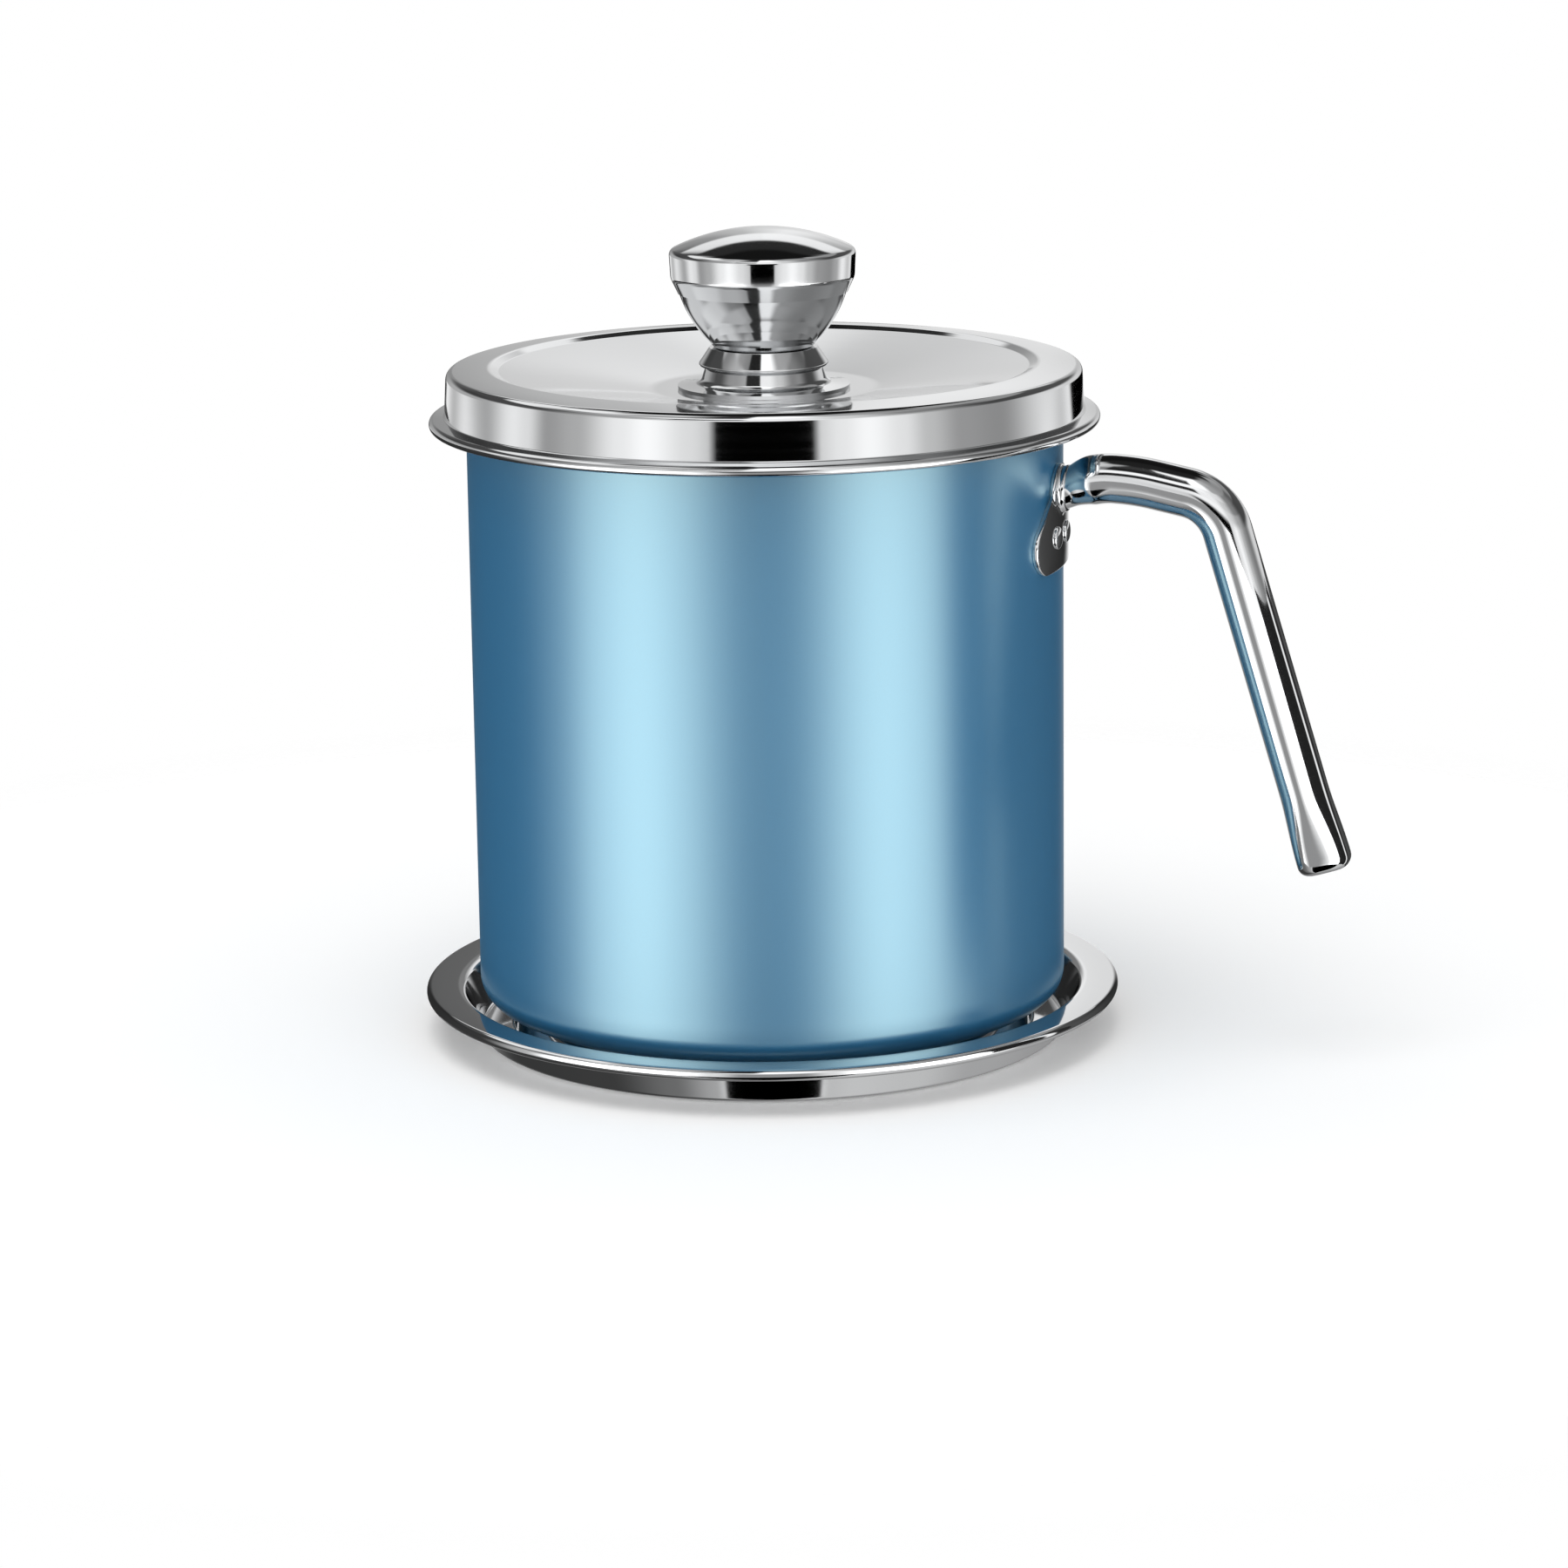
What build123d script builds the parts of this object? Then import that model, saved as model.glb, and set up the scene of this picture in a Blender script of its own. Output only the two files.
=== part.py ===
from build123d import *
import os
from math import asin, cos, degrees, radians, sin, sqrt, tan

# Bacon grease container: a round pot with a bent tube handle, a drop-in strainer, a pressed
# cap lid with a spun knob, and a drip tray that the pot stands in.
# Millimetres. +Z is up, the table is z = 0, the origin is the centre of the tray's foot and
# the handle points along +X.

# Clearances
seat_gap = 0.25  # between pieces that are stacked loose on each other
well_gap = 0.2  # pot wall to the foot of the tray's well, all round
strainer_gap = 0.8  # strainer wall to pot wall, all round
lid_gap = 2.2  # lid skirt to pot rim, all round
screw_gap = 0.2  # radial room round the knob screw

# Drip tray, one pressing
tray_sheet = 0.6
tray_height = 10.5
tray_rim_width = 7.9  # flat rim, from the well's mouth to over the rolled edge
tray_curl_radius = 1.3  # outside radius of the rolled edge
well_wall_run = 4.2  # how far the well's wall leans out
gutter_width = 7.8  # foot ring, from the well's foot to the seat's foot
seat_wall_run = 3.2
seat_height = 6.8  # raised disc that carries the pot
tray_bend_radius = 1.5
curl_turn = 212.0  # degrees that each rolled edge turns under

# Pot, deep drawn
pot_sheet = 0.6
pot_radius = 66.2
pot_height = 140.6  # underside of the base to the top of the rim
pot_corner_radius = 6.2
pot_curl_radius = 1.0
base_rim_width = 20.2  # pot wall to the edge of the dished base
base_dish_height = 0.8
base_step_width = 2.5
base_bend_radius = 3.0

# Strainer that hangs on the pot's rim
strainer_sheet = 0.5
strainer_depth = 34.0
strainer_draft = 2.6  # how much narrower the cup is at its floor
strainer_bend_radius = 1.5
flange_setback = 0.2  # flange edge inside the rim's outer edge
flange_curl_radius = 0.75  # rolled edge, turned up, that the lid rests on
ledge_width = 8.0
screen_thickness = 0.6
screen_lap = 3.3  # screen over the ledge
screen_pitch = 6.0
screen_opening = 4.4
ring_thickness = 0.8
ring_lap = 6.5  # clamping ring over the ledge

# Lid, one pressing
lid_sheet = 0.6
skirt_depth = 9.9
skirt_flare = 0.6
shoulder_radius = 1.8
brim_width = 4.1  # skirt's foot to over the rolled edge
brim_drop = 0.4
brim_curl_radius = 1.2
crest_setback = 8.8  # top of the step in the lid's face, in from the skirt
crest_rise = 0.75
step_width = 2.6
step_drop = 0.85
step_bend_radius = 2.0
dish_depth = 4.85  # knob seat below the shoulder
dish_bend_radius = 18.0
knob_seat_radius = 25.0

# Knob: pressed ferrule, turned collar, spun body and spun cap
ferrule_sheet = 0.8
ferrule_foot_radius = 19.1
ferrule_waist_radius = 14.1
ferrule_neck_radius = 12.9
ferrule_lip_height = 0.8
ferrule_height = 5.0
collar_foot_radius = 14.8
collar_top_radius = 12.0
collar_height = 4.1
collar_edge_radius = 0.5
knob_sheet = 0.6
neck_radius = 10.9
neck_bend_radius = 0.9
body_height = 12.1
body_top_radius = 18.5
body_bulge = 0.8  # how far the side swells past a straight cone
seam_lip = 0.25  # cap edge proud of the body at the seam
cap_flare_height = 3.4
band_foot_radius = 20.35
band_foot_bend = 3.0
knob_radius = 20.65
cap_band_height = 6.0
cap_edge_radius = 1.5
cap_dome_height = 4.85

# Knob fixing: a screw from below into a threaded boss in the knob
screw_radius = 2.5
screw_head_radius = 4.7
screw_head_height = 2.8
screw_head_round = 1.3
screw_slot_width = 1.0
screw_slot_length = 5.6
screw_slot_depth = 1.4
screw_engagement = 9.6  # how far the screw reaches into the boss
washer_radius = 7.5
washer_thickness = 1.0
boss_radius = 5.0
boss_flange_radius = 8.5
boss_flange_thickness = 1.6
boss_end_gap = 1.4  # room past the screw's end
boss_crown = 1.0

# Handle: a round tube with a necked root, closed and pressed a little flat at its free end
tube_radius = 5.5
tube_wall = 1.0
root_radius = 4.4
root_neck = 2.9  # straight neck out from the wall
neck_taper = 3.3  # from the neck to the tube's full size
root_angle = 20.0  # degrees the tube climbs as it leaves the wall
root_drop = 23.7  # where the tube's line meets the wall, below the rim
crown_reach = 9.55  # from the wall to the first bend
leg_reach = 26.35  # from the first bend to the grip's bend
leg_soft_share = 0.332  # where along the leg its soft bend lies
leg_slope = 3.434  # degrees that the leg falls before its soft bend
leg_end_slope = 11.873  # degrees that it falls after
grip_angle = 16.8  # degrees the grip leans out from the vertical
grip_length = 85.6
crown_radius = 18.0
soft_bend_radius = 55.0
grip_bend_radius = 12.0
pressed_length = 17.0
pressed_half_width = 6.0
pressed_half_depth = 4.7
pressed_edge_radius = 2.6

# Handle bracket and its rivets
bracket_sheet = 1.2
bracket_top_radius = 5.2
bracket_top_drop = 1.5  # middle of the plate's round top below the tube's root
bracket_ear_reach = 10.3
bracket_ear_drop = 10.9
bracket_ear_radius = 6.0
collar_wall = 0.5
collar_flare = 0.8
collar_reach = 2.8  # bracket collar's end out from the pot wall, along the tube
rivet_spacing = 9.0
rivet_drop = 9.5  # rivet centres below the tube's root
rivet_head_radius = 2.5
rivet_head_height = 1.0
rivet_shank_radius = 1.5
rivet_tail_height = 0.7

# Heights and radii that follow from the sizes above
well_foot_radius = pot_radius + well_gap
well_mouth_radius = well_foot_radius + well_wall_run
tray_radius = well_mouth_radius + tray_rim_width
seat_foot_radius = well_foot_radius - gutter_width
seat_radius = seat_foot_radius - seat_wall_run
pot_bottom = seat_height + seat_gap
pot_top = pot_bottom + pot_height
pot_rim_radius = pot_radius - pot_sheet + 2 * pot_curl_radius
flange_bottom = pot_top + seat_gap
flange_radius = pot_rim_radius - flange_setback
strainer_radius = pot_radius - pot_sheet - strainer_gap
strainer_floor = flange_bottom - strainer_depth
strainer_floor_radius = strainer_radius - strainer_draft
ledge_radius = strainer_floor_radius - ledge_width
screen_bottom = strainer_floor + strainer_sheet
ring_bottom = screen_bottom + screen_thickness
lid_underside = flange_bottom + 2 * flange_curl_radius + seat_gap
lid_inner_radius = pot_rim_radius + lid_gap
crest_radius = lid_inner_radius - crest_setback
lid_centre_underside = lid_underside - dish_depth
knob_seat = lid_centre_underside + lid_sheet
screw_hole_radius = screw_radius + screw_gap
collar_bottom = knob_seat + ferrule_height
body_bottom = collar_bottom + collar_height
cap_bottom = body_bottom + body_height
band_bottom = cap_bottom + cap_flare_height
band_top = band_bottom + cap_band_height
plate_radius = pot_radius + bracket_sheet
root_height = pot_top - root_drop
rivet_height = root_height - rivet_drop
rivet_angle = degrees(asin(rivet_spacing / 2 / plate_radius))

# The handle's centre line lies in the XZ plane
root = Vector(pot_radius, 0, root_height)
root_direction = Vector(cos(radians(root_angle)), 0, sin(radians(root_angle)))
crown = root + root_direction * (crown_reach / root_direction.X)
soft_reach = leg_reach * leg_soft_share
soft_bend = crown + Vector(soft_reach, 0, -soft_reach * tan(radians(leg_slope)))
end_reach = leg_reach - soft_reach
bend = soft_bend + Vector(end_reach, 0, -end_reach * tan(radians(leg_end_slope)))
grip_direction = Vector(sin(radians(grip_angle)), 0, -cos(radians(grip_angle)))
grip_end = bend + grip_direction * grip_length
pressed_start = grip_end - grip_direction * pressed_length
tube_start = root - root_direction * tube_radius
taper_end = root + root_direction * (root_neck + neck_taper)
start_plane = Plane(origin=tube_start, x_dir=(0, 1, 0), z_dir=root_direction)
neck_plane = start_plane.offset(tube_radius + root_neck)


def radial_plane(angle):
    """Upright plane through the axis: its x runs outward at the angle, its y runs up."""
    outward = (cos(radians(angle)), sin(radians(angle)), 0)
    normal = (sin(radians(angle)), -cos(radians(angle)), 0)
    return Plane(origin=(0, 0, 0), x_dir=outward, z_dir=normal)


def pressed_section(points, radii, sheet, curl_radius=0.0, curl_side=-1):
    """Section of a pressing: the points run along one side, the sheet lies on their left.

    A curl may end it, and turns away from the sheet's side, or towards it with curl_side 1.
    """
    with BuildSketch(Plane.XZ) as section:
        with BuildLine():
            run = FilletPolyline(*points, radius=radii)
            if curl_radius:
                line_radius = curl_radius if curl_side > 0 else curl_radius - sheet
                JernArc(run @ 1, run % 1, line_radius, curl_side * curl_turn)
            offset(amount=sheet, side=Side.LEFT)
        make_face()
    return section.sketch


# Tray: foot ring on the table, raised seat inside it, flat rim with a rolled edge
with BuildPart() as tray:
    rim_underside = tray_height - tray_sheet
    seat_underside = seat_height - tray_sheet
    tray_points = [
        (0, seat_underside),
        (seat_radius, seat_underside),
        (seat_foot_radius, 0),
        (well_foot_radius, 0),
        (well_mouth_radius, rim_underside),
        (tray_radius - tray_curl_radius, rim_underside),
    ]
    tray_radii = [tray_bend_radius] * 4
    revolve(pressed_section(tray_points, tray_radii, tray_sheet, tray_curl_radius), axis=Axis.Z)
tray.part.label = "tray"


# Pot: dished base, rounded corner, straight wall, rim rolled outward
with BuildPart() as pot_shell:
    base_dish_radius = pot_radius - base_rim_width
    base_step_radius = base_dish_radius + base_step_width
    pot_points = [
        (0, pot_bottom + base_dish_height),
        (base_dish_radius, pot_bottom + base_dish_height),
        (base_step_radius, pot_bottom),
        (pot_radius, pot_bottom),
        (pot_radius, pot_top - pot_curl_radius),
    ]
    pot_radii = [base_bend_radius, base_bend_radius, pot_corner_radius]
    revolve(pressed_section(pot_points, pot_radii, pot_sheet, pot_curl_radius), axis=Axis.Z)
    for angle in (-rivet_angle, rivet_angle):
        rivet_line = Axis((0, 0, rivet_height), radial_plane(angle).x_dir)
        with BuildSketch(Plane(origin=rivet_line.position, z_dir=rivet_line.direction)):
            Circle(rivet_shank_radius)
        extrude(amount=plate_radius, mode=Mode.SUBTRACT)
pot_shell.part.label = "pot_shell"


# Bracket: shield-shaped plate bent to the wall, with a collar raised round the tube
with BuildPart() as handle_bracket:
    with BuildSketch(Plane.YZ.offset(pot_radius - 2 * bracket_ear_radius)):
        with Locations((0, root_height - bracket_top_drop)):
            Circle(bracket_top_radius)
        ear_height = root_height - bracket_ear_drop
        with Locations((-bracket_ear_reach, ear_height), (bracket_ear_reach, ear_height)):
            Circle(bracket_ear_radius)
        make_hull()
    extrude(amount=4 * bracket_ear_radius)
    with BuildSketch(Plane.XY.offset(rivet_height - bracket_ear_reach)):
        Circle(plate_radius)
    extrude(amount=4 * bracket_ear_reach, mode=Mode.INTERSECT)
    collar_top = root_radius + collar_wall
    with BuildSketch(Plane(origin=root, x_dir=root_direction, z_dir=(0, -1, 0))):
        with BuildLine():
            FilletPolyline(
                (-collar_reach, 0),
                (-collar_reach, collar_top + 2 * collar_flare),
                (collar_reach, collar_top),
                (collar_reach, 0),
                radius=[0, collar_wall / 2],
            )
            Line((collar_reach, 0), (-collar_reach, 0))
        make_face()
    revolve(axis=Axis(root, root_direction))
    with BuildSketch(Plane.XY.offset(rivet_height - bracket_ear_reach)):
        Circle(pot_radius)
    extrude(amount=4 * bracket_ear_reach, mode=Mode.SUBTRACT)
    with BuildSketch(start_plane):
        Circle(root_radius)
    extrude(amount=tube_radius + 2 * collar_reach, mode=Mode.SUBTRACT)
    for angle in (-rivet_angle, rivet_angle):
        rivet_line = Axis((0, 0, rivet_height), radial_plane(angle).x_dir)
        with BuildSketch(Plane(origin=rivet_line.position, z_dir=rivet_line.direction)):
            Circle(rivet_shank_radius)
        extrude(amount=plate_radius + bracket_sheet, mode=Mode.SUBTRACT)
handle_bracket.part.label = "handle_bracket"


# Rivets: domed heads outside, low tails inside the pot, clamping bracket and wall
with BuildPart() as bracket_rivets:
    head_top = plate_radius + rivet_head_height
    tail_end = pot_radius - pot_sheet - rivet_tail_height
    dome_middle = head_top - rivet_head_height / 4
    for angle in (-rivet_angle, rivet_angle):
        with BuildSketch(radial_plane(angle)):
            with BuildLine():
                Polyline(
                    (head_top, rivet_height),
                    (tail_end, rivet_height),
                    (tail_end, rivet_height + rivet_head_radius),
                    (plate_radius, rivet_height + rivet_head_radius),
                )
                ThreePointArc(
                    (plate_radius, rivet_height + rivet_head_radius),
                    (dome_middle, rivet_height + rivet_head_radius / 2),
                    (head_top, rivet_height),
                )
            make_face()
        revolve(axis=Axis((0, 0, rivet_height), radial_plane(angle).x_dir))
    with BuildSketch(Plane.XY.offset(rivet_height - 2 * rivet_head_radius)):
        Circle(plate_radius)
        Circle(pot_radius - pot_sheet, mode=Mode.SUBTRACT)
    extrude(amount=4 * rivet_head_radius, mode=Mode.SUBTRACT)
    for angle in (-rivet_angle, rivet_angle):
        shank_plane = Plane(
            origin=radial_plane(angle).x_dir * tail_end + Vector(0, 0, rivet_height),
            z_dir=radial_plane(angle).x_dir,
        )
        with BuildSketch(shank_plane):
            Circle(rivet_shank_radius)
        extrude(amount=plate_radius - tail_end + rivet_head_height / 2)
bracket_rivets.part.label = "bracket_rivets"


# Handle tube: coped to the pot wall, bent down, its end closed and pressed a little flat
with BuildPart() as handle_tube:
    with BuildLine() as tube_line:
        FilletPolyline(
            taper_end,
            crown,
            soft_bend,
            bend,
            pressed_start,
            radius=[crown_radius, soft_bend_radius, grip_bend_radius],
        )
    for inset, mode in ((0, Mode.ADD), (tube_wall, Mode.SUBTRACT)):
        with BuildSketch(start_plane):
            Circle(root_radius - inset)
        extrude(amount=tube_radius + root_neck, mode=mode)
        with BuildSketch(neck_plane):
            Circle(root_radius - inset)
        with BuildSketch(neck_plane.offset(neck_taper)):
            Circle(tube_radius - inset)
        loft(mode=mode)
        with BuildSketch(neck_plane.offset(neck_taper)):
            Circle(tube_radius - inset)
        sweep(path=tube_line.wires()[0], mode=mode)
    grip_plane = Plane(origin=pressed_start, x_dir=(0, 1, 0), z_dir=grip_direction)
    with BuildSketch(grip_plane):
        Circle(tube_radius)
    with BuildSketch(grip_plane.offset(pressed_length)):
        Ellipse(pressed_half_depth, pressed_half_width)
    loft()
    fillet(edges().group_by(Axis.Z)[0], pressed_edge_radius)
    with BuildSketch(Plane.XY.offset(root_height - 4 * tube_radius)):
        Circle(pot_radius)
    extrude(amount=8 * tube_radius, mode=Mode.SUBTRACT)
handle_tube.part.label = "handle_tube"


# Strainer cup: flange on the pot's rim, drafted wall, ledge that carries the screen
with BuildPart() as strainer_cup:
    strainer_points = [
        (ledge_radius, strainer_floor),
        (strainer_floor_radius, strainer_floor),
        (strainer_radius, flange_bottom),
        (flange_radius - flange_curl_radius, flange_bottom),
    ]
    strainer_radii = [strainer_bend_radius + strainer_sheet, strainer_bend_radius]
    revolve(
        pressed_section(strainer_points, strainer_radii, strainer_sheet, flange_curl_radius, 1),
        axis=Axis.Z,
    )
strainer_cup.part.label = "strainer_cup"


# Screen: a disc with a square grid of openings inside a plain border
with BuildPart() as strainer_mesh:
    with BuildSketch(Plane.XY.offset(screen_bottom)):
        Circle(ledge_radius + screen_lap)
        grid_count = 2 * int(ledge_radius // screen_pitch) + 1
        furthest = ledge_radius - screen_opening / 2
        with GridLocations(screen_pitch, screen_pitch, grid_count, grid_count) as grid:
            openings = [spot for spot in grid.local_locations if spot.position.length < furthest]
        with Locations(*openings):
            Rectangle(screen_opening, screen_opening, mode=Mode.SUBTRACT)
    extrude(amount=screen_thickness)
strainer_mesh.part.label = "strainer_mesh"


# Ring that clamps the screen to the ledge
with BuildPart() as mesh_ring:
    with BuildSketch(Plane.XY.offset(ring_bottom)):
        Circle(ledge_radius + ring_lap)
        Circle(ledge_radius, mode=Mode.SUBTRACT)
    extrude(amount=ring_thickness)
    fillet(faces().sort_by(Axis.Z)[-1].edges(), ring_thickness / 3)
mesh_ring.part.label = "mesh_ring"


# Lid: knob seat, shallow dish, step up to the crest, shoulder, skirt and rolled brim
with BuildPart() as lid_shell:
    skirt_foot_radius = lid_inner_radius + skirt_flare
    skirt_foot = lid_underside - skirt_depth
    lid_points = [
        (screw_hole_radius, lid_centre_underside),
        (knob_seat_radius, lid_centre_underside),
        (crest_radius - step_width, lid_underside + crest_rise - step_drop),
        (crest_radius, lid_underside + crest_rise),
        (lid_inner_radius, lid_underside),
        (skirt_foot_radius, skirt_foot),
        (skirt_foot_radius + brim_width - brim_curl_radius, skirt_foot - brim_drop),
    ]
    lid_radii = [
        dish_bend_radius,
        step_bend_radius,
        step_bend_radius,
        shoulder_radius - lid_sheet,
        lid_sheet * 1.5,
    ]
    revolve(pressed_section(lid_points, lid_radii, lid_sheet, brim_curl_radius), axis=Axis.Z)
lid_shell.part.label = "lid_shell"


# Ferrule: pressed foot that flares on to the lid's seat
with BuildPart() as knob_base:
    with BuildSketch(Plane.XZ):
        with BuildLine():
            FilletPolyline(
                (screw_hole_radius, collar_bottom),
                (ferrule_neck_radius, collar_bottom),
                (ferrule_waist_radius, knob_seat + ferrule_lip_height * 1.5),
                (ferrule_foot_radius, knob_seat + ferrule_lip_height),
                radius=[ferrule_sheet * 1.2, ferrule_sheet * 2.2],
            )
            offset(amount=ferrule_sheet, side=Side.RIGHT)
        make_face()
    revolve(axis=Axis.Z)
knob_base.part.label = "knob_base"


# Collar: a turned ring between ferrule and knob body
with BuildPart() as knob_collar:
    with BuildSketch(Plane.XZ):
        with BuildLine():
            Polyline(
                (screw_hole_radius, collar_bottom),
                (collar_foot_radius, collar_bottom),
                (collar_top_radius, body_bottom),
                (screw_hole_radius, body_bottom),
                close=True,
            )
        make_face()
    revolve(axis=Axis.Z)
    fillet(edges().filter_by(GeomType.CIRCLE).group_by(SortBy.RADIUS)[-1], collar_edge_radius)
knob_collar.part.label = "knob_collar"


# Knob body: spun bowl that rises from the neck to the seam
with BuildPart() as knob_body:
    with BuildSketch(Plane.XZ):
        with BuildLine():
            floor_line = Line((boss_radius, body_bottom), (neck_radius, body_bottom))
            side_middle = Vector(neck_radius + body_top_radius, body_bottom + cap_bottom) / 2
            side_line = ThreePointArc(
                floor_line @ 1,
                side_middle + Vector(body_bulge, -body_bulge / 2),
                (body_top_radius, cap_bottom),
            )
            offset(amount=knob_sheet, side=Side.LEFT)
        make_face()
    revolve(axis=Axis.Z)
    fillet(edges().group_by(Axis.Z)[0].group_by(SortBy.RADIUS)[-1], neck_bend_radius)
knob_body.part.label = "knob_body"


# Knob cap: flared foot, band that leans out a little, low dome
with BuildPart() as knob_cap:
    with BuildSketch(Plane.XZ):
        with BuildLine():
            FilletPolyline(
                (body_top_radius + seam_lip, cap_bottom),
                (band_foot_radius, band_bottom),
                (knob_radius, band_top),
                radius=band_foot_bend,
            )
            dome_radius = (knob_radius**2 + cap_dome_height**2) / (2 * cap_dome_height)
            dome_centre = band_top + cap_dome_height - dome_radius
            half_way = knob_radius / 2
            ThreePointArc(
                (knob_radius, band_top),
                (half_way, dome_centre + sqrt(dome_radius**2 - half_way**2)),
                (0, band_top + cap_dome_height),
            )
            offset(amount=knob_sheet, side=Side.LEFT)
        make_face()
    revolve(axis=Axis.Z)
    outer_edge = edges().filter_by(GeomType.CIRCLE).filter_by_position(Axis.Z, band_top, band_top)
    fillet(outer_edge.sort_by(SortBy.RADIUS)[-1], cap_edge_radius)
knob_cap.part.label = "knob_cap"


# Threaded boss inside the knob body, its flange on the body's floor
with BuildPart() as knob_insert:
    boss_bottom = body_bottom + knob_sheet
    with BuildSketch(Plane.XY.offset(body_bottom)):
        Circle(boss_radius)
    extrude(amount=screw_engagement + boss_end_gap + boss_crown)
    with BuildSketch(Plane.XY.offset(boss_bottom)):
        Circle(boss_flange_radius)
    extrude(amount=boss_flange_thickness)
    with Locations((0, 0, body_bottom)):
        Cylinder(
            screw_radius,
            screw_engagement + boss_end_gap,
            align=(Align.CENTER, Align.CENTER, Align.MIN),
            mode=Mode.SUBTRACT,
        )
knob_insert.part.label = "knob_insert"


# Washer under the lid
with BuildPart() as screw_washer:
    with BuildSketch(Plane.XY.offset(lid_centre_underside - washer_thickness)):
        Circle(washer_radius)
        Circle(screw_hole_radius, mode=Mode.SUBTRACT)
    extrude(amount=washer_thickness)
screw_washer.part.label = "screw_washer"


# Knob screw: pan head with a cross recess, head down
with BuildPart() as knob_screw:
    head_top_height = lid_centre_underside - washer_thickness
    head_face = head_top_height - screw_head_height
    with BuildSketch(Plane.XY.offset(head_face)):
        Circle(screw_head_radius)
    extrude(amount=screw_head_height)
    fillet(edges().group_by(Axis.Z)[0], screw_head_round)
    with BuildSketch(Plane.XY.offset(head_face)):
        Rectangle(screw_slot_length, screw_slot_width)
        Rectangle(screw_slot_width, screw_slot_length)
    extrude(amount=screw_slot_depth, mode=Mode.SUBTRACT)
    with BuildSketch(Plane.XY.offset(head_top_height)):
        Circle(screw_radius)
    extrude(amount=body_bottom + screw_engagement - head_top_height)
knob_screw.part.label = "knob_screw"


os.makedirs("parts", exist_ok=True)
pieces = [
    tray,
    pot_shell,
    handle_bracket,
    bracket_rivets,
    handle_tube,
    strainer_cup,
    strainer_mesh,
    mesh_ring,
    lid_shell,
    knob_base,
    knob_collar,
    knob_body,
    knob_cap,
    knob_insert,
    screw_washer,
    knob_screw,
]
for piece in pieces:
    export_step(piece.part, f"parts/{piece.part.label}.step")
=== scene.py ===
import math

import bpy
from mathutils import Matrix, Vector
from mathutils.geometry import convex_hull_2d


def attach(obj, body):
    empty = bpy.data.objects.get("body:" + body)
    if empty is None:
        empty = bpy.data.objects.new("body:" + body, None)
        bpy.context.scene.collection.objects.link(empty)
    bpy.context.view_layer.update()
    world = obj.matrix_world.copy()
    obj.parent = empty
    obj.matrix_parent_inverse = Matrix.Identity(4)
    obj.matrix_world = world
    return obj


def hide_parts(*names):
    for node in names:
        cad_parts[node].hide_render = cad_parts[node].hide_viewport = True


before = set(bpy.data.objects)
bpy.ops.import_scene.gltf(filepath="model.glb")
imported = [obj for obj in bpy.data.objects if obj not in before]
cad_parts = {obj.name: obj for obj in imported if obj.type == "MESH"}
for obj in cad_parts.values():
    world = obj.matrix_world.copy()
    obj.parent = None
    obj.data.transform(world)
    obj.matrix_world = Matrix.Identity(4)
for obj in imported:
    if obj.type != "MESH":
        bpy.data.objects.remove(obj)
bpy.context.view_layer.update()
print("frame loaded")

mm = 0.001
turnSteps = 256  # divisions round every turned or pressed piece

view = {
    "lens": 119.72,  # mm on a 36 mm sensor
    "distance": 1.176,
    "elevation": 13.03,
    "handleTurn": 15.0,  # degrees that the handle points towards the camera
    "roll": -0.78,
    "aimRight": 0.0032,
    "aimHeight": 0.055,
}
light = {
    "plainLevel": 0.78,  # what matt surfaces get from all round
    "lampPower": 7.5,
    "lampSize": 1.1,
    "lampPlace": (0.35, -0.2, 1.5),  # towards the camera, to the right and up
    "lampAim": 0.05,
    "zenithLevel": 0.02,
}
floor = {
    "reach": 0.34,
    "drop": 0.0002,  # keeps it just under the foot
    "fade": (0.24, 0.335),  # where it thins out to the white behind
    "lift": 0.1,  # extra paleness that only the camera sees
}
lowWall = {  # round backdrop
    "reach": 0.24,
    "foot": -0.08,
    "top": 0.115,
    "span": (-180, 180),
    "centre": (0, 0, 0),
}
sideBoard = {  # dark board to the right of the handle
    "reach": 0.075,  # from the grip
    "foot": -0.02,
    "top": 0.115,
    "span": (36, 118),
    "centre": (0.1165, 0, 0),  # the middle of the grip
}
# light levels by the way round, in degrees, 0 at the camera and + to the right, first as the
# front of the lid's skirt sees them
frontLevels = [
    (-100, 1.12), (-93, 1.0), (-83, 0.43), (-70, 0.56), (-52, 1.16), (-42, 1.37), (-26, 1.0),
    (27, 1.12), (37, 1.33), (50, 1.06), (60, 0.7), (74, 0.42), (92, 0.36),
]
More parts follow.
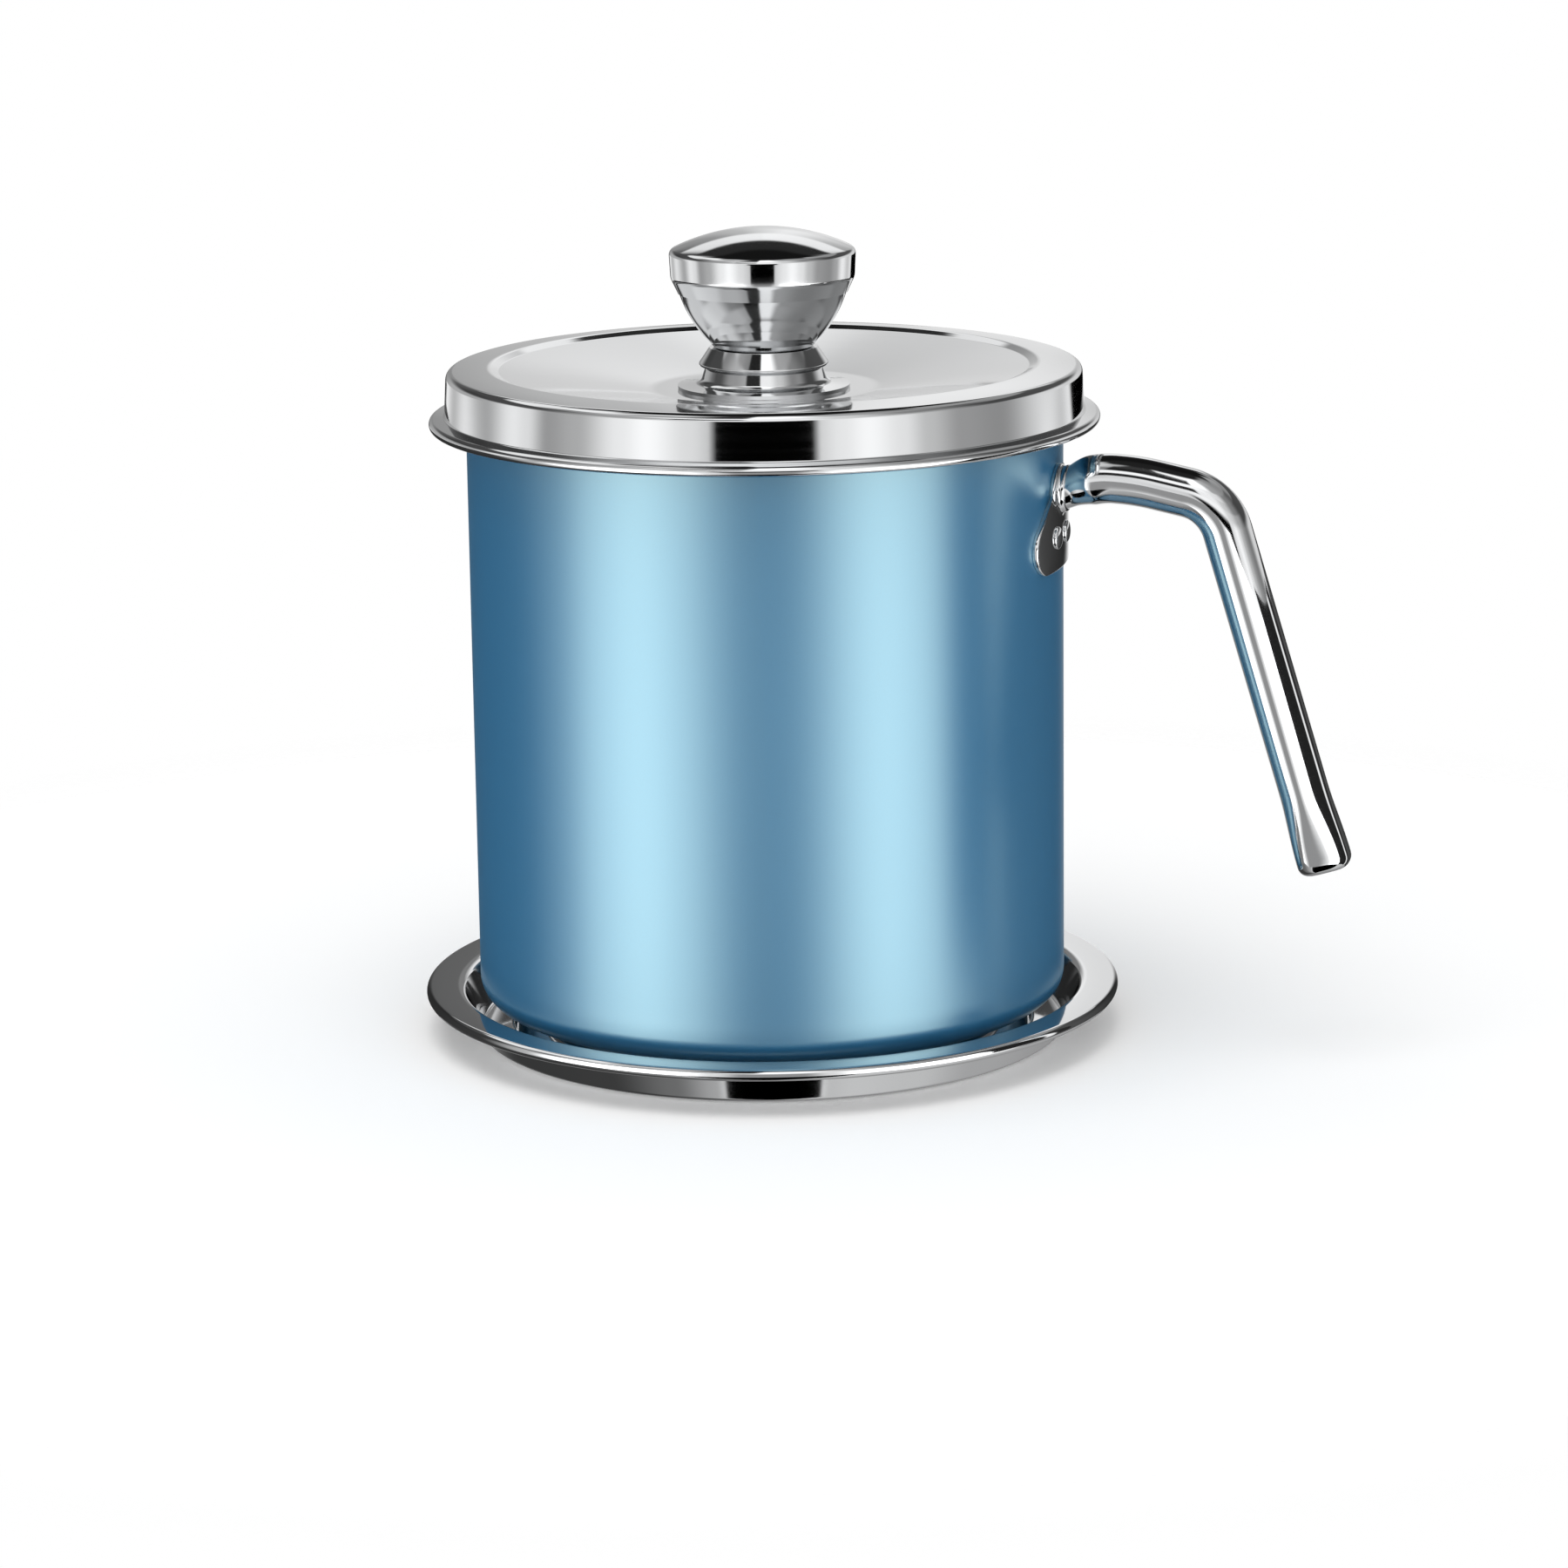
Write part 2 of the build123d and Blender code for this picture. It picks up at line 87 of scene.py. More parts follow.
# then ring by ring, from below the floor up to the ceiling
levels = {
    "below": [
        (-180, 0.3), (-139, 0.05), (-92, 0.06), (-60, 0.2), (-36, 0.5), (35, 0.7), (50, 0.75),
        (82, 0.7), (110, 0.5), (180, 0.3),
    ],
    "waist": [
        (-180, 0.0), (-166, 0.0), (-162, 1.0), (-148, 0.6), (-134, 1.0), (-114, 0.52),
        *frontLevels, (104, 0.5), (118, 1.15), (132, 0.75), (141, 1.0), (145, 0.0), (180, 0.0),
    ],
    "horizon": [
        (-180, 0.75), (-176, 0.5), (-172, 0.3), (-150, 0.5), (-118, 0.5), *frontLevels,
        (118, 0.9), (150, 0.8), (172, 0.6), (176, 0.85), (180, 0.75),
    ],
    "above": [
        (-180, 0.85), (-177, 0.6), (-172, 0.35), (-163, 0.12), (-140, 0.06), (-95, 0.1),
        (-60, 0.5), (-30, 0.85), (-10, 1.3), (10, 1.3), (30, 0.9), (60, 0.5), (95, 0.08),
        (155, 0.1), (166, 0.5), (177, 1.05), (180, 0.85),
    ],
    "overLeg": [
        (-180, 1.15), (-166, 1.0), (-160, 0.08), (-95, 0.08), (-60, 0.4), (-38, 0.5), (-34, 0.03),
        (-9, 0.03), (-6, 1.2), (10, 1.2), (30, 0.8), (60, 0.3), (95, 0.08), (150, 0.1), (166, 1.1),
        (180, 1.2),
    ],
    "legLine": [
        (-180, 0.03), (-160, 0.03), (-152, 1.1), (-118, 1.1), (-95, 0.3), (-60, 0.6), (-36, 1.3),
        (-10, 1.4), (30, 1.0), (60, 0.3), (95, 0.15), (118, 0.35), (152, 0.4), (160, 0.03),
        (180, 0.03),
    ],
    "high": [
        (-180, 0.01), (-148, 0.01), (-138, 0.8), (-125, 1.3), (-90, 1.1), (-60, 0.4), (-38, 0.3),
        (-33, 0.02), (-9, 0.02), (-5, 1.6), (14, 1.6), (35, 0.5), (90, 0.35), (130, 0.45),
        (146, 0.01), (180, 0.01),
    ],
    "ceiling": [
        (-180, 0.01), (-125, 0.01), (-100, 0.8), (-60, 0.8), (-38, 0.6), (-33, 0.05), (-9, 0.05),
        (-5, 1.6), (14, 1.6), (30, 0.6), (85, 0.35), (125, 0.01), (180, 0.01),
    ],
    "lowWall": [
        (-180, 0.25), (-168, 0.25), (-159, 0.15), (-140, 0.03), (-95, 0.05), (-75, 0.6),
        (-60, 2.4), (-43, 3.3), (-28, 2.3), (-16, 1.0), (-8, 0.38), (8, 0.38), (16, 1.0),
        (26, 2.3), (38, 3.2), (54, 2.5), (68, 1.4), (80, 0.3), (95, 0.1), (140, 0.03),
        (156, 0.9), (168, 1.05), (180, 0.4),
    ],
    "sideBoard": [(36, 0.02), (88, 0.02), (92, 1.2), (99, 1.2), (102, 0.03), (120, 0.03)],
}
# where each ring starts, in degrees up, and how softly; the gap is a dark strip at the camera
bands = [
    ("below", None, None, 30),
    ("waist", -22, 3, 15),
    ("horizon", -4, 1, 18),
    ("above", 11, 5, None),
    ("overLeg", 24, 1.5, None),
    ("legLine", 36, 1.5, None),
    ("high", 48, 2, None),
    ("ceiling", 62, 2, None),
]
zenith = (76, 4)  # start and softness of the dark disc overhead
topLevel = 4.0  # a ramp holds levels up to this one


def turned(degrees):
    return math.radians(degrees)


eyeTurn = turned(view["handleTurn"])
eyeSide = Vector((math.cos(eyeTurn), math.sin(eyeTurn), 0))
eyeFront = Vector((math.sin(eyeTurn), -math.cos(eyeTurn), 0))


def addObject(name, data):
    thing = bpy.data.objects.new(name, data)
    bpy.context.scene.collection.objects.link(thing)
    return thing


def placeCamera():
    tilt = turned(view["elevation"])
    roll = turned(view["roll"])
    outward = eyeFront * math.cos(tilt) + Vector((0, 0, math.sin(tilt)))
    upward = outward.cross(eyeSide)
    right = eyeSide * math.cos(roll) + upward * math.sin(roll)
    up = upward * math.cos(roll) - eyeSide * math.sin(roll)
    aim = eyeSide * view["aimRight"] + Vector((0, 0, view["aimHeight"]))
    data = bpy.data.cameras.new("studioCamera")
    data.sensor_width = 36
    data.sensor_fit = "HORIZONTAL"
    data.lens = view["lens"]
    data.clip_start = 0.05
    camera = addObject("studioCamera", data)
    turn = Matrix((right, up, outward)).transposed().to_4x4()
    camera.matrix_world = Matrix.Translation(aim + outward * view["distance"]) @ turn
    bpy.context.scene.camera = camera


def shade(hexColour):
    # sRGB hex to the linear colour that shaders use
    parts = [int(hexColour[i : i + 2], 16) / 255 for i in (1, 3, 5)]
    return [p / 12.92 if p <= 0.04045 else ((p + 0.055) / 1.055) ** 2.4 for p in parts] + [1.0]


def addNode(tree, kind, settings=None, values=None, links=None):
    # settings are the node's own, values go into its sockets, and a link comes from a node's
    # first output or from the one that is named with it
    node = tree.nodes.new(kind)
    for name, value in (settings or {}).items():
        setattr(node, name, value)
    for name, value in (values or {}).items():
        node.inputs[name].default_value = value
    for name, link in (links or {}).items():
        source, output = link if isinstance(link, tuple) else (link, 0)
        tree.links.new(source.outputs[output], node.inputs[name])
    return node


# settings that several nodes share
plus, minus, times, over = [
    {"operation": name} for name in ("ADD", "SUBTRACT", "MULTIPLY", "DIVIDE")
]
softStep = {"interpolation_type": "SMOOTHSTEP"}


def wayRound(tree, where, output):
    # share of the way round, from behind by the left, the camera and the right
    front, side = [
        addNode(
            tree,
            "ShaderNodeVectorMath",
            {"operation": "DOT_PRODUCT"},
            {1: way},
            {0: (where, output)},
        )
        for way in (eyeFront, eyeSide)
    ]
    around = addNode(
        tree,
        "ShaderNodeMath",
        {"operation": "ARCTAN2"},
        links={0: (side, "Value"), 1: (front, "Value")},
    )
    return addNode(
        tree,
        "ShaderNodeMapRange",
        values={"From Min": -math.pi, "From Max": math.pi},
        links={"Value": around},
    )


def lightRing(tree, share, stops, gap=None):
    # light level by the way round; the gap, in degrees to each side, is a dark strip at the camera
    if gap:
        edges = [(-gap - 0.6, 0.8), (-gap, 0.0), (gap, 0.0), (gap + 0.6, 0.9)]
        stops = sorted([stop for stop in stops if abs(stop[0]) > gap + 1] + edges)
    node = addNode(tree, "ShaderNodeValToRGB", links={0: share})
    ramp = node.color_ramp
    ramp.interpolation = "EASE"
    for place, (angle, level) in enumerate(stops):
        spot = (angle + 180) / 360
        element = ramp.elements[place] if place < 2 else ramp.elements.new(spot)
        element.position = spot
        element.color = (*[level / topLevel] * 3, 1)
    return addNode(tree, "ShaderNodeMath", times, {1: topLevel}, {0: (node, "Color")})


def buildStudioLight():
    # metal sees a round studio with a dark strip at the camera and a dark zenith, while matt
    # surfaces get one plain level and the camera sees white
    world = bpy.data.worlds.new("studio")
    bpy.context.scene.world = world
    world.use_nodes = True
    tree = world.node_tree
    tree.nodes.clear()
    where = addNode(tree, "ShaderNodeTexCoord")
    share = wayRound(tree, where, "Generated")
    height = addNode(tree, "ShaderNodeSeparateXYZ", links={0: (where, "Generated")})
    rise = addNode(tree, "ShaderNodeMath", {"operation": "ARCSINE"}, links={0: (height, "Z")})
    dark = addNode(tree, "ShaderNodeValue")
    dark.outputs[0].default_value = light["zenithLevel"]
    rings = [
        (edge, soft, lightRing(tree, share, levels[name], gap)) for name, edge, soft, gap in bands
    ]
    level = rings[0][2]
    for edge, soft, ring in rings[1:] + [(*zenith, dark)]:
        past = addNode(
            tree,
            "ShaderNodeMapRange",
            softStep,
            {"From Min": turned(edge - soft), "From Max": turned(edge + soft)},
            {"Value": rise},
        )
        level = addNode(tree, "ShaderNodeMix", links={"Factor": past, "A": level, "B": ring})
    rays = addNode(tree, "ShaderNodeLightPath")
    mirrored = addNode(tree, "ShaderNodeBackground", links={"Color": level})
    plain = addNode(
        tree,
        "ShaderNodeBackground",
        values={"Color": (1, 1, 1, 1), "Strength": light["plainLevel"]},
    )
    white = addNode(tree, "ShaderNodeBackground", values={"Color": (1, 1, 1, 1)})
    lit = addNode(
        tree, "ShaderNodeMixShader", links={0: (rays, "Is Diffuse Ray"), 1: mirrored, 2: plain}
    )
    seen = addNode(
        tree, "ShaderNodeMixShader", links={0: (rays, "Is Camera Ray"), 1: lit, 2: white}
    )
    addNode(tree, "ShaderNodeOutputWorld", links={"Surface": seen})


def setStage(name, points, faces, finish, place):
    # a mesh of the studio, which isn't part of the object
    mesh = bpy.data.meshes.new(name)
    mesh.from_pydata(points, [], faces)
    mesh.materials.append(finish)
    thing = addObject(name, mesh)
    thing.location = place
    return thing


def setCard(name, card, stops):
    # an upright bent card that only reflections see, its light by the way round its centre
    steps = 120
    first, last = card["span"]
    points = []
    for k in range(steps + 1):
        angle = turned(first + (last - first) * k / steps)
        way = eyeFront * math.cos(angle) + eyeSide * math.sin(angle)
        points += [way * card["reach"] + Vector((0, 0, card[edge])) for edge in ("foot", "top")]
    faces = [(2 * k, 2 * k + 1, 2 * k + 3, 2 * k + 2) for k in range(steps)]
    paint, tree = newFinish(name)
    where = addNode(tree, "ShaderNodeTexCoord")
    ring = lightRing(tree, wayRound(tree, where, "Object"), stops)
    glow = addNode(tree, "ShaderNodeEmission", links={"Strength": ring})
    addNode(tree, "ShaderNodeOutputMaterial", links={"Surface": glow})
    thing = setStage(name, points, faces, paint, card["centre"])
    for ray in ("camera", "diffuse", "transmission", "volume_scatter", "shadow"):
        setattr(thing, "visible_" + ray, False)


def buildFloor():
    # a pale matt table, wide enough for the shadow
    sides = 64
    points = [(0, 0, 0)]
    for k in range(sides):
        angle = 2 * math.pi * k / sides
        points.append((floor["reach"] * math.cos(angle), floor["reach"] * math.sin(angle), 0))
    faces = [(0, 1 + k, 1 + (k + 1) % sides) for k in range(sides)]
    paint, tree = newFinish("paleTable")
    matt = addNode(
        tree,
        "ShaderNodeBsdfPrincipled",
        values={"Base Color": shade("#F4F4F4"), "Roughness": 0.9, "Specular IOR Level": 0.0},
    )
    clear = addNode(tree, "ShaderNodeBsdfTransparent")
    where = addNode(tree, "ShaderNodeTexCoord")
    away = addNode(
        tree, "ShaderNodeVectorMath", {"operation": "LENGTH"}, links={0: (where, "Object")}
    )
    start, end = floor["fade"]
    fade = addNode(
        tree,
        "ShaderNodeMapRange",
        softStep,
        {"From Min": start, "From Max": end},
        {"Value": (away, "Value")},
    )
    # the camera sees the table a little brighter, as pale as the white behind it
    rays = addNode(tree, "ShaderNodeLightPath")
    seen = (rays, "Is Camera Ray")
    lift = addNode(tree, "ShaderNodeMath", times, {1: floor["lift"]}, {0: seen})
    glow = addNode(tree, "ShaderNodeEmission", links={"Strength": lift})
    shown = addNode(tree, "ShaderNodeAddShader", links={0: matt, 1: glow})
    both = addNode(tree, "ShaderNodeMixShader", links={0: fade, 1: shown, 2: clear})
    addNode(tree, "ShaderNodeOutputMaterial", links={"Surface": both})
    table = setStage("tableTop", points, faces, paint, (0, 0, -floor["drop"]))
    table.visible_glossy = False


def hangLamp():
    data = bpy.data.lights.new("overheadSoftbox", "AREA")
    data.shape = "DISK"
    data.size = light["lampSize"]
    data.energy = light["lampPower"]
    lamp = addObject("overheadSoftbox", data)
    front, right, up = light["lampPlace"]
    lamp.location = eyeFront * front + eyeSide * right + Vector((0, 0, up))
    aim = Vector((0, 0, light["lampAim"])) - lamp.location
    lamp.rotation_euler = aim.to_track_quat("-Z", "Y").to_euler()
    lamp.visible_glossy = False


def newFinish(name):
    material = bpy.data.materials.new(name)
    material.use_nodes = True
    tree = material.node_tree
    tree.nodes.clear()
    return material, tree


def turnedPlace(tree):
    # place on a turned piece, as the distance from the axis and the height
    where = addNode(tree, "ShaderNodeTexCoord")
    split = addNode(tree, "ShaderNodeSeparateXYZ", links={0: (where, "Object")})
    level = addNode(tree, "ShaderNodeCombineXYZ", links={0: split, 1: (split, 1)})
    reach = addNode(tree, "ShaderNodeVectorMath", {"operation": "LENGTH"}, links={0: level})
    return addNode(tree, "ShaderNodeCombineXYZ", links={0: (reach, "Value"), 1: (split, 2)})


def polishedSteel():
    # mirror-polished stainless steel: clear reflections, the faintest lines from the buffing wheel
    linesPerMm = 0.9  # coarser than real ones, so that they show
    material, tree = newFinish("mirrorPolishedStainless")
    place = turnedPlace(tree)
    lines = addNode(
        tree,
        "ShaderNodeTexNoise",
        values={"Scale": linesPerMm / mm, "Detail": 3.0},
        links={"Vector": place},
    )
    gloss = addNode(
        tree,
        "ShaderNodeMapRange",
        values={"To Min": 0.035, "To Max": 0.095},
        links={"Value": lines},
    )
    metal = addNode(
        tree,
        "ShaderNodeBsdfPrincipled",
        values={"Base Color": shade("#D9DADB"), "Metallic": 1.0},
        links={"Roughness": gloss},
    )
    addNode(tree, "ShaderNodeOutputMaterial", links={"Surface": metal})
    return material


def satinSteel(name="satinStainless", spacing=0.35):
    # spun stainless steel left satin: fine rings that run round the piece, spacing in mm
    material, tree = newFinish(name)
    place = turnedPlace(tree)
    lines = addNode(
        tree,
        "ShaderNodeTexNoise",
        values={"Scale": 0.5 / (spacing * mm), "Detail": 4.0, "Roughness": 0.6},
        links={"Vector": place},
    )
    gloss = addNode(
        tree, "ShaderNodeMapRange", values={"To Min": 0.22, "To Max": 0.4}, links={"Value": lines}
    )
    grooves = addNode(
        tree,
        "ShaderNodeBump",
        values={"Strength": 0.15, "Distance": 0.00002},
        links={"Height": lines},
    )
    metal = addNode(
        tree,
        "ShaderNodeBsdfPrincipled",
        values={"Base Color": shade("#C6C7C8"), "Metallic": 1.0},
        links={"Roughness": gloss, "Normal": grooves},
    )
    addNode(tree, "ShaderNodeOutputMaterial", links={"Surface": metal})
    return material


def blueLacquer():
    # satin metallic lacquer on steel: deep blue pigment, a pale cyan sheen from the metal flakes
    flakesPerMm = 2.6  # coarser than real ones, so that they show
    material, tree = newFinish("blueMetallicLacquer")
    where = addNode(tree, "ShaderNodeTexCoord")
    flakes = addNode(
        tree,
        "ShaderNodeTexNoise",
        values={"Scale": flakesPerMm / mm, "Detail": 2.0},
        links={"Vector": (where, "Object")},
    )
    pigment = addNode(
        tree,
        "ShaderNodeMix",
        {"data_type": "RGBA"},
        {6: shade("#1A6A9C"), 7: shade("#1E72A4")},
        {0: flakes},
    )
    gloss = addNode(
        tree, "ShaderNodeMapRange", values={"To Min": 0.3, "To Max": 0.36}, links={"Value": flakes}
    )
    coat = addNode(
        tree,
        "ShaderNodeBsdfPrincipled",
        values={
            "Metallic": 0.0,
            "IOR": 2.1,
            "Specular IOR Level": 1.0,
            "Specular Tint": shade("#DDFFFC"),
        },
        links={"Base Color": (pigment, 2), "Roughness": gloss},
    )
    addNode(tree, "ShaderNodeOutputMaterial", links={"Surface": coat})
    return material


def roundedLine(corners, radii, steps=8):
    # straight runs through the corners, each inner corner rounded by its own radius
    line = [Vector(corners[0])]
    for before, corner, after, radius in zip(corners, corners[1:], corners[2:], radii):
        here = Vector(corner)
        if not radius:
            line.append(here)
            continue
        toBefore = (Vector(before) - here).normalized()
        toAfter = (Vector(after) - here).normalized()
        half = toBefore.angle(toAfter) / 2
        middle = here + (toBefore + toAfter).normalized() * radius / math.sin(half)
        start = here + toBefore * radius / math.tan(half) - middle
        turn = math.pi - 2 * half
        if toBefore.cross(toAfter) > 0:
            turn = -turn
        for step in range(steps + 1):
            line.append(middle + Matrix.Rotation(turn * step / steps, 2) @ start)
    line.append(Vector(corners[-1]))
    return line


def addCurl(line, radius, turn, steps=18):
    # goes on from the line's end along an arc; a negative turn goes clockwise
    run = (line[-1] - line[-2]).normalized()
    side = Vector((-run.y, run.x)) * (1 if turn > 0 else -1)
    middle = line[-1] + side * radius
    start = line[-1] - middle
    for step in range(1, steps + 1):
        line.append(middle + Matrix.Rotation(turned(turn) * step / steps, 2) @ start)


def leftOf(line, amount):
    # the same line moved to its left by the sheet's thickness
    moved = []
    for place, point in enumerate(line):
        before = line[max(place - 1, 0)]
        after = line[min(place + 1, len(line) - 1)]
        first = (point - before).normalized() if place else (after - point).normalized()
        second = (after - point).normalized() if place < len(line) - 1 else first
        run = (first + second).normalized()
        stretch = 1 / max(run.dot(first), 0.5)
        moved.append(point + Vector((-run.y, run.x)) * amount * stretch)
    return moved


def sheetSection(line, sheet, roundEnd=True):
    # closed section of a sheet that lies on the line's left, its free end rounded
    other = leftOf(line, sheet)
    end = []
    if roundEnd:
        steps = 6
        middle = (line[-1] + other[-1]) / 2
        start = line[-1] - middle
        turns = [math.pi * k / steps for k in range(1, steps)]
        end = [middle + Matrix.Rotation(turn, 2) @ start for turn in turns]
    if line[0].x < 1e-6:
        other[0].x = 0.0
    return line + end + other[::-1]


def smoothPiece(name, mesh, finishes, sharpAngle=50):
    for finish in finishes:
        mesh.materials.append(finish)
    mesh.shade_smooth()
    mesh.set_sharp_from_angle(angle=turned(sharpAngle))
    mesh.update()
    return addObject(name, mesh)


def turnedPiece(name, section, finishes, slotAt=None, sharpAngle=50, steps=turnSteps):
    # spins a closed section, in mm from the axis and up, round the upright axis
    points, rows = [], []
    for spot in section:
        if spot.x < 1e-6:
            rows.append([len(points)] * steps)
            points.append((0, 0, spot.y * mm))
            continue
        rows.append(list(range(len(points), len(points) + steps)))
        for k in range(steps):
            angle = 2 * math.pi * k / steps
            points.append(
                (spot.x * mm * math.cos(angle), spot.x * mm * math.sin(angle), spot.y * mm)
            )
    faces, slots = [], []
    count = len(section)
    area = sum(a.x * b.y - b.x * a.y for a, b in zip(section, section[1:] + section[:1]))
    for row in range(count):
        here, there = rows[row], rows[(row + 1) % count]
        if here[0] == here[1] and there[0] == there[1]:
            continue
        middle = (section[row] + section[(row + 1) % count]) / 2
        slot = slotAt(middle, row) if slotAt else 0
        for k in range(steps):
            n = (k + 1) % steps
            face = [here[k], here[n], there[n], there[k]]
            if area < 0:
                face.reverse()
            faces.append(list(dict.fromkeys(face)))  # a triangle at the axis
            slots.append(slot)
    mesh = bpy.data.meshes.new(name)
    mesh.from_pydata(points, [], faces)
    mesh.polygons.foreach_set("material_index", slots)
    return smoothPiece(name, mesh, finishes, sharpAngle)


def ringsPiece(name, rings, finishes, closed=False, sharpAngle=50):
    # skin over equal rings of points; open ends get one point in the middle of a fan
    wide = len(rings[0])
    points = [tuple(p) for ring in rings for p in ring]
    faces = []
    last = len(rings) if closed else len(rings) - 1
    for r in range(last):
        a, b = r * wide, ((r + 1) % len(rings)) * wide
        for k in range(wide):
            n = (k + 1) % wide
            faces.append((a + k, a + n, b + n, b + k))
    if not closed:
        for ring, start in ((0, 0), (len(rings) - 1, (len(rings) - 1) * wide)):
            middle = sum((Vector(p) for p in rings[ring]), Vector()) / wide
            points.append(tuple(middle))
            centre = len(points) - 1
            for k in range(wide):
                n = (k + 1) % wide
                tri = (start + n, start + k, centre)
                faces.append(tri if ring == 0 else tri[::-1])
    mesh = bpy.data.meshes.new(name)
    mesh.from_pydata(points, [], faces)
    return smoothPiece(name, mesh, finishes, sharpAngle)


def newTree(name, inputs):
    # a node tree with named inputs; values go in by the sockets' identifiers
    tree = bpy.data.node_groups.new(name, "GeometryNodeTree")
    sockets = {}
    for title, kind in {"Geometry": "Geometry", **inputs, "Finish": "Material"}.items():
        socket = tree.interface.new_socket(title, in_out="INPUT", socket_type="NodeSocket" + kind)
        sockets[title] = socket.identifier
    tree.interface.new_socket("Geometry", in_out="OUTPUT", socket_type="NodeSocketGeometry")
    return tree, sockets, addNode(tree, "NodeGroupInput")


def endTree(tree, given, source):
    # real geometry with its finish
    real = addNode(tree, "GeometryNodeRealizeInstances", links={0: source})
    painted = addNode(
        tree, "GeometryNodeSetMaterial", links={"Geometry": real, "Material": (given, "Finish")}
    )
    addNode(tree, "NodeGroupOutput", links={0: painted})


def growPiece(name, tree, sockets, values):
    # runs a node tree once and keeps its result as a plain mesh
    holder = addObject(name + "Holder", bpy.data.meshes.new(name + "Holder"))
    modifier = holder.modifiers.new("grow", "NODES")
    modifier.node_group = tree
    for key, value in values.items():
        modifier[sockets[key]] = value
    graph = bpy.context.evaluated_depsgraph_get()
    grown = bpy.data.meshes.new_from_object(holder.evaluated_get(graph), depsgraph=graph)
    grown.name = name
    holder.modifiers.remove(modifier)
    bpy.data.objects.remove(holder)
    return smoothPiece(name, grown, [])


mirror = polishedSteel()
satin = satinSteel()
lacquer = blueLacquer()
bareInside = satinSteel("spunSteelInside", 0.8)
print("finishes mixed")

tray = {
    "sheet": 0.6,
    "height": 10.5,
    "reach": 78.47,
    "curl": 1.3,
    "wellMouth": 70.6,
    "wellFoot": 66.4,
    "seatFoot": 58.6,
    "seat": 55.4,
    "seatHeight": 6.8,
    "bend": 1.5,
}
curlTurn = -212  # degrees that a rolled rim turns


def pressTray():
    rim = tray["height"] - tray["sheet"]
    corners = [
        (0, tray["seatHeight"] - tray["sheet"]),
        (tray["seat"], tray["seatHeight"] - tray["sheet"]),
        (tray["seatFoot"], 0),
        (tray["wellFoot"], 0),
        (tray["wellMouth"], rim),
        (tray["reach"] - tray["curl"], rim),
    ]
    line = roundedLine(corners, [tray["bend"]] * 4)
    addCurl(line, tray["curl"] - tray["sheet"], curlTurn)
    piece = turnedPiece("dripTray", sheetSection(line, tray["sheet"]), [mirror])
    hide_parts("tray")
    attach(piece, "tray")


pot = {
    "sheet": 0.6,
    "radius": 66.2,
    "bottom": 7.05,
    "top": 147.65,
    "corner": 6.2,
    "curl": 1.0,
    "dish": 46.0,
    "dishStep": 48.5,
    "dishHeight": 0.8,
    "dishBend": 3.0,
}


def drawPot():
    corners = [
        (0, pot["bottom"] + pot["dishHeight"]),
        (pot["dish"], pot["bottom"] + pot["dishHeight"]),
        (pot["dishStep"], pot["bottom"]),
        (pot["radius"], pot["bottom"]),
        (pot["radius"], pot["top"] - pot["curl"]),
    ]
    line = roundedLine(corners, [pot["dishBend"], pot["dishBend"], pot["corner"]], 12)
    addCurl(line, pot["curl"] - pot["sheet"], curlTurn)
    outside = len(line)
    bareFrom = pot["top"] - 2 * pot["curl"]

    def coated(middle, row):
        return 0 if row < outside and middle.y < bareFrom else 1

    section = sheetSection(line, pot["sheet"])
    piece = turnedPiece("potShell", section, [lacquer, bareInside], coated)
    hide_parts("pot_shell")
    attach(piece, "pot")


handle = {
    "tube": 5.5,
    "root": 4.4,  # radius of the necked root
    "neck": 2.9,
    "taper": 6.0,
    "rootHeight": 123.95,
    "rootAngle": 20.0,
    "crownReach": 9.55,
    "softBend": (84.5, -0.53),  # out from the axis, and up from the crown
    "gripBend": (102.05, -4.22),
    "gripAngle": 16.8,
    "gripLength": 85.48,
    "bends": [18, 55, 12],
    "pressed": 19.0,
    "pressedWide": 6.0,
    "pressedDeep": 4.7,
    "pressedSquare": 1.1,  # how much squarer the pressed section gets
    "endRound": 2.6,
    "endFull": 0.92,  # share of the end's rounding that narrows it
    "wallGap": 0.05,
}
rootAngle = turned(handle["rootAngle"])
root = Vector((pot["radius"], handle["rootHeight"]))
rootRun = Vector((math.cos(rootAngle), math.sin(rootAngle)))


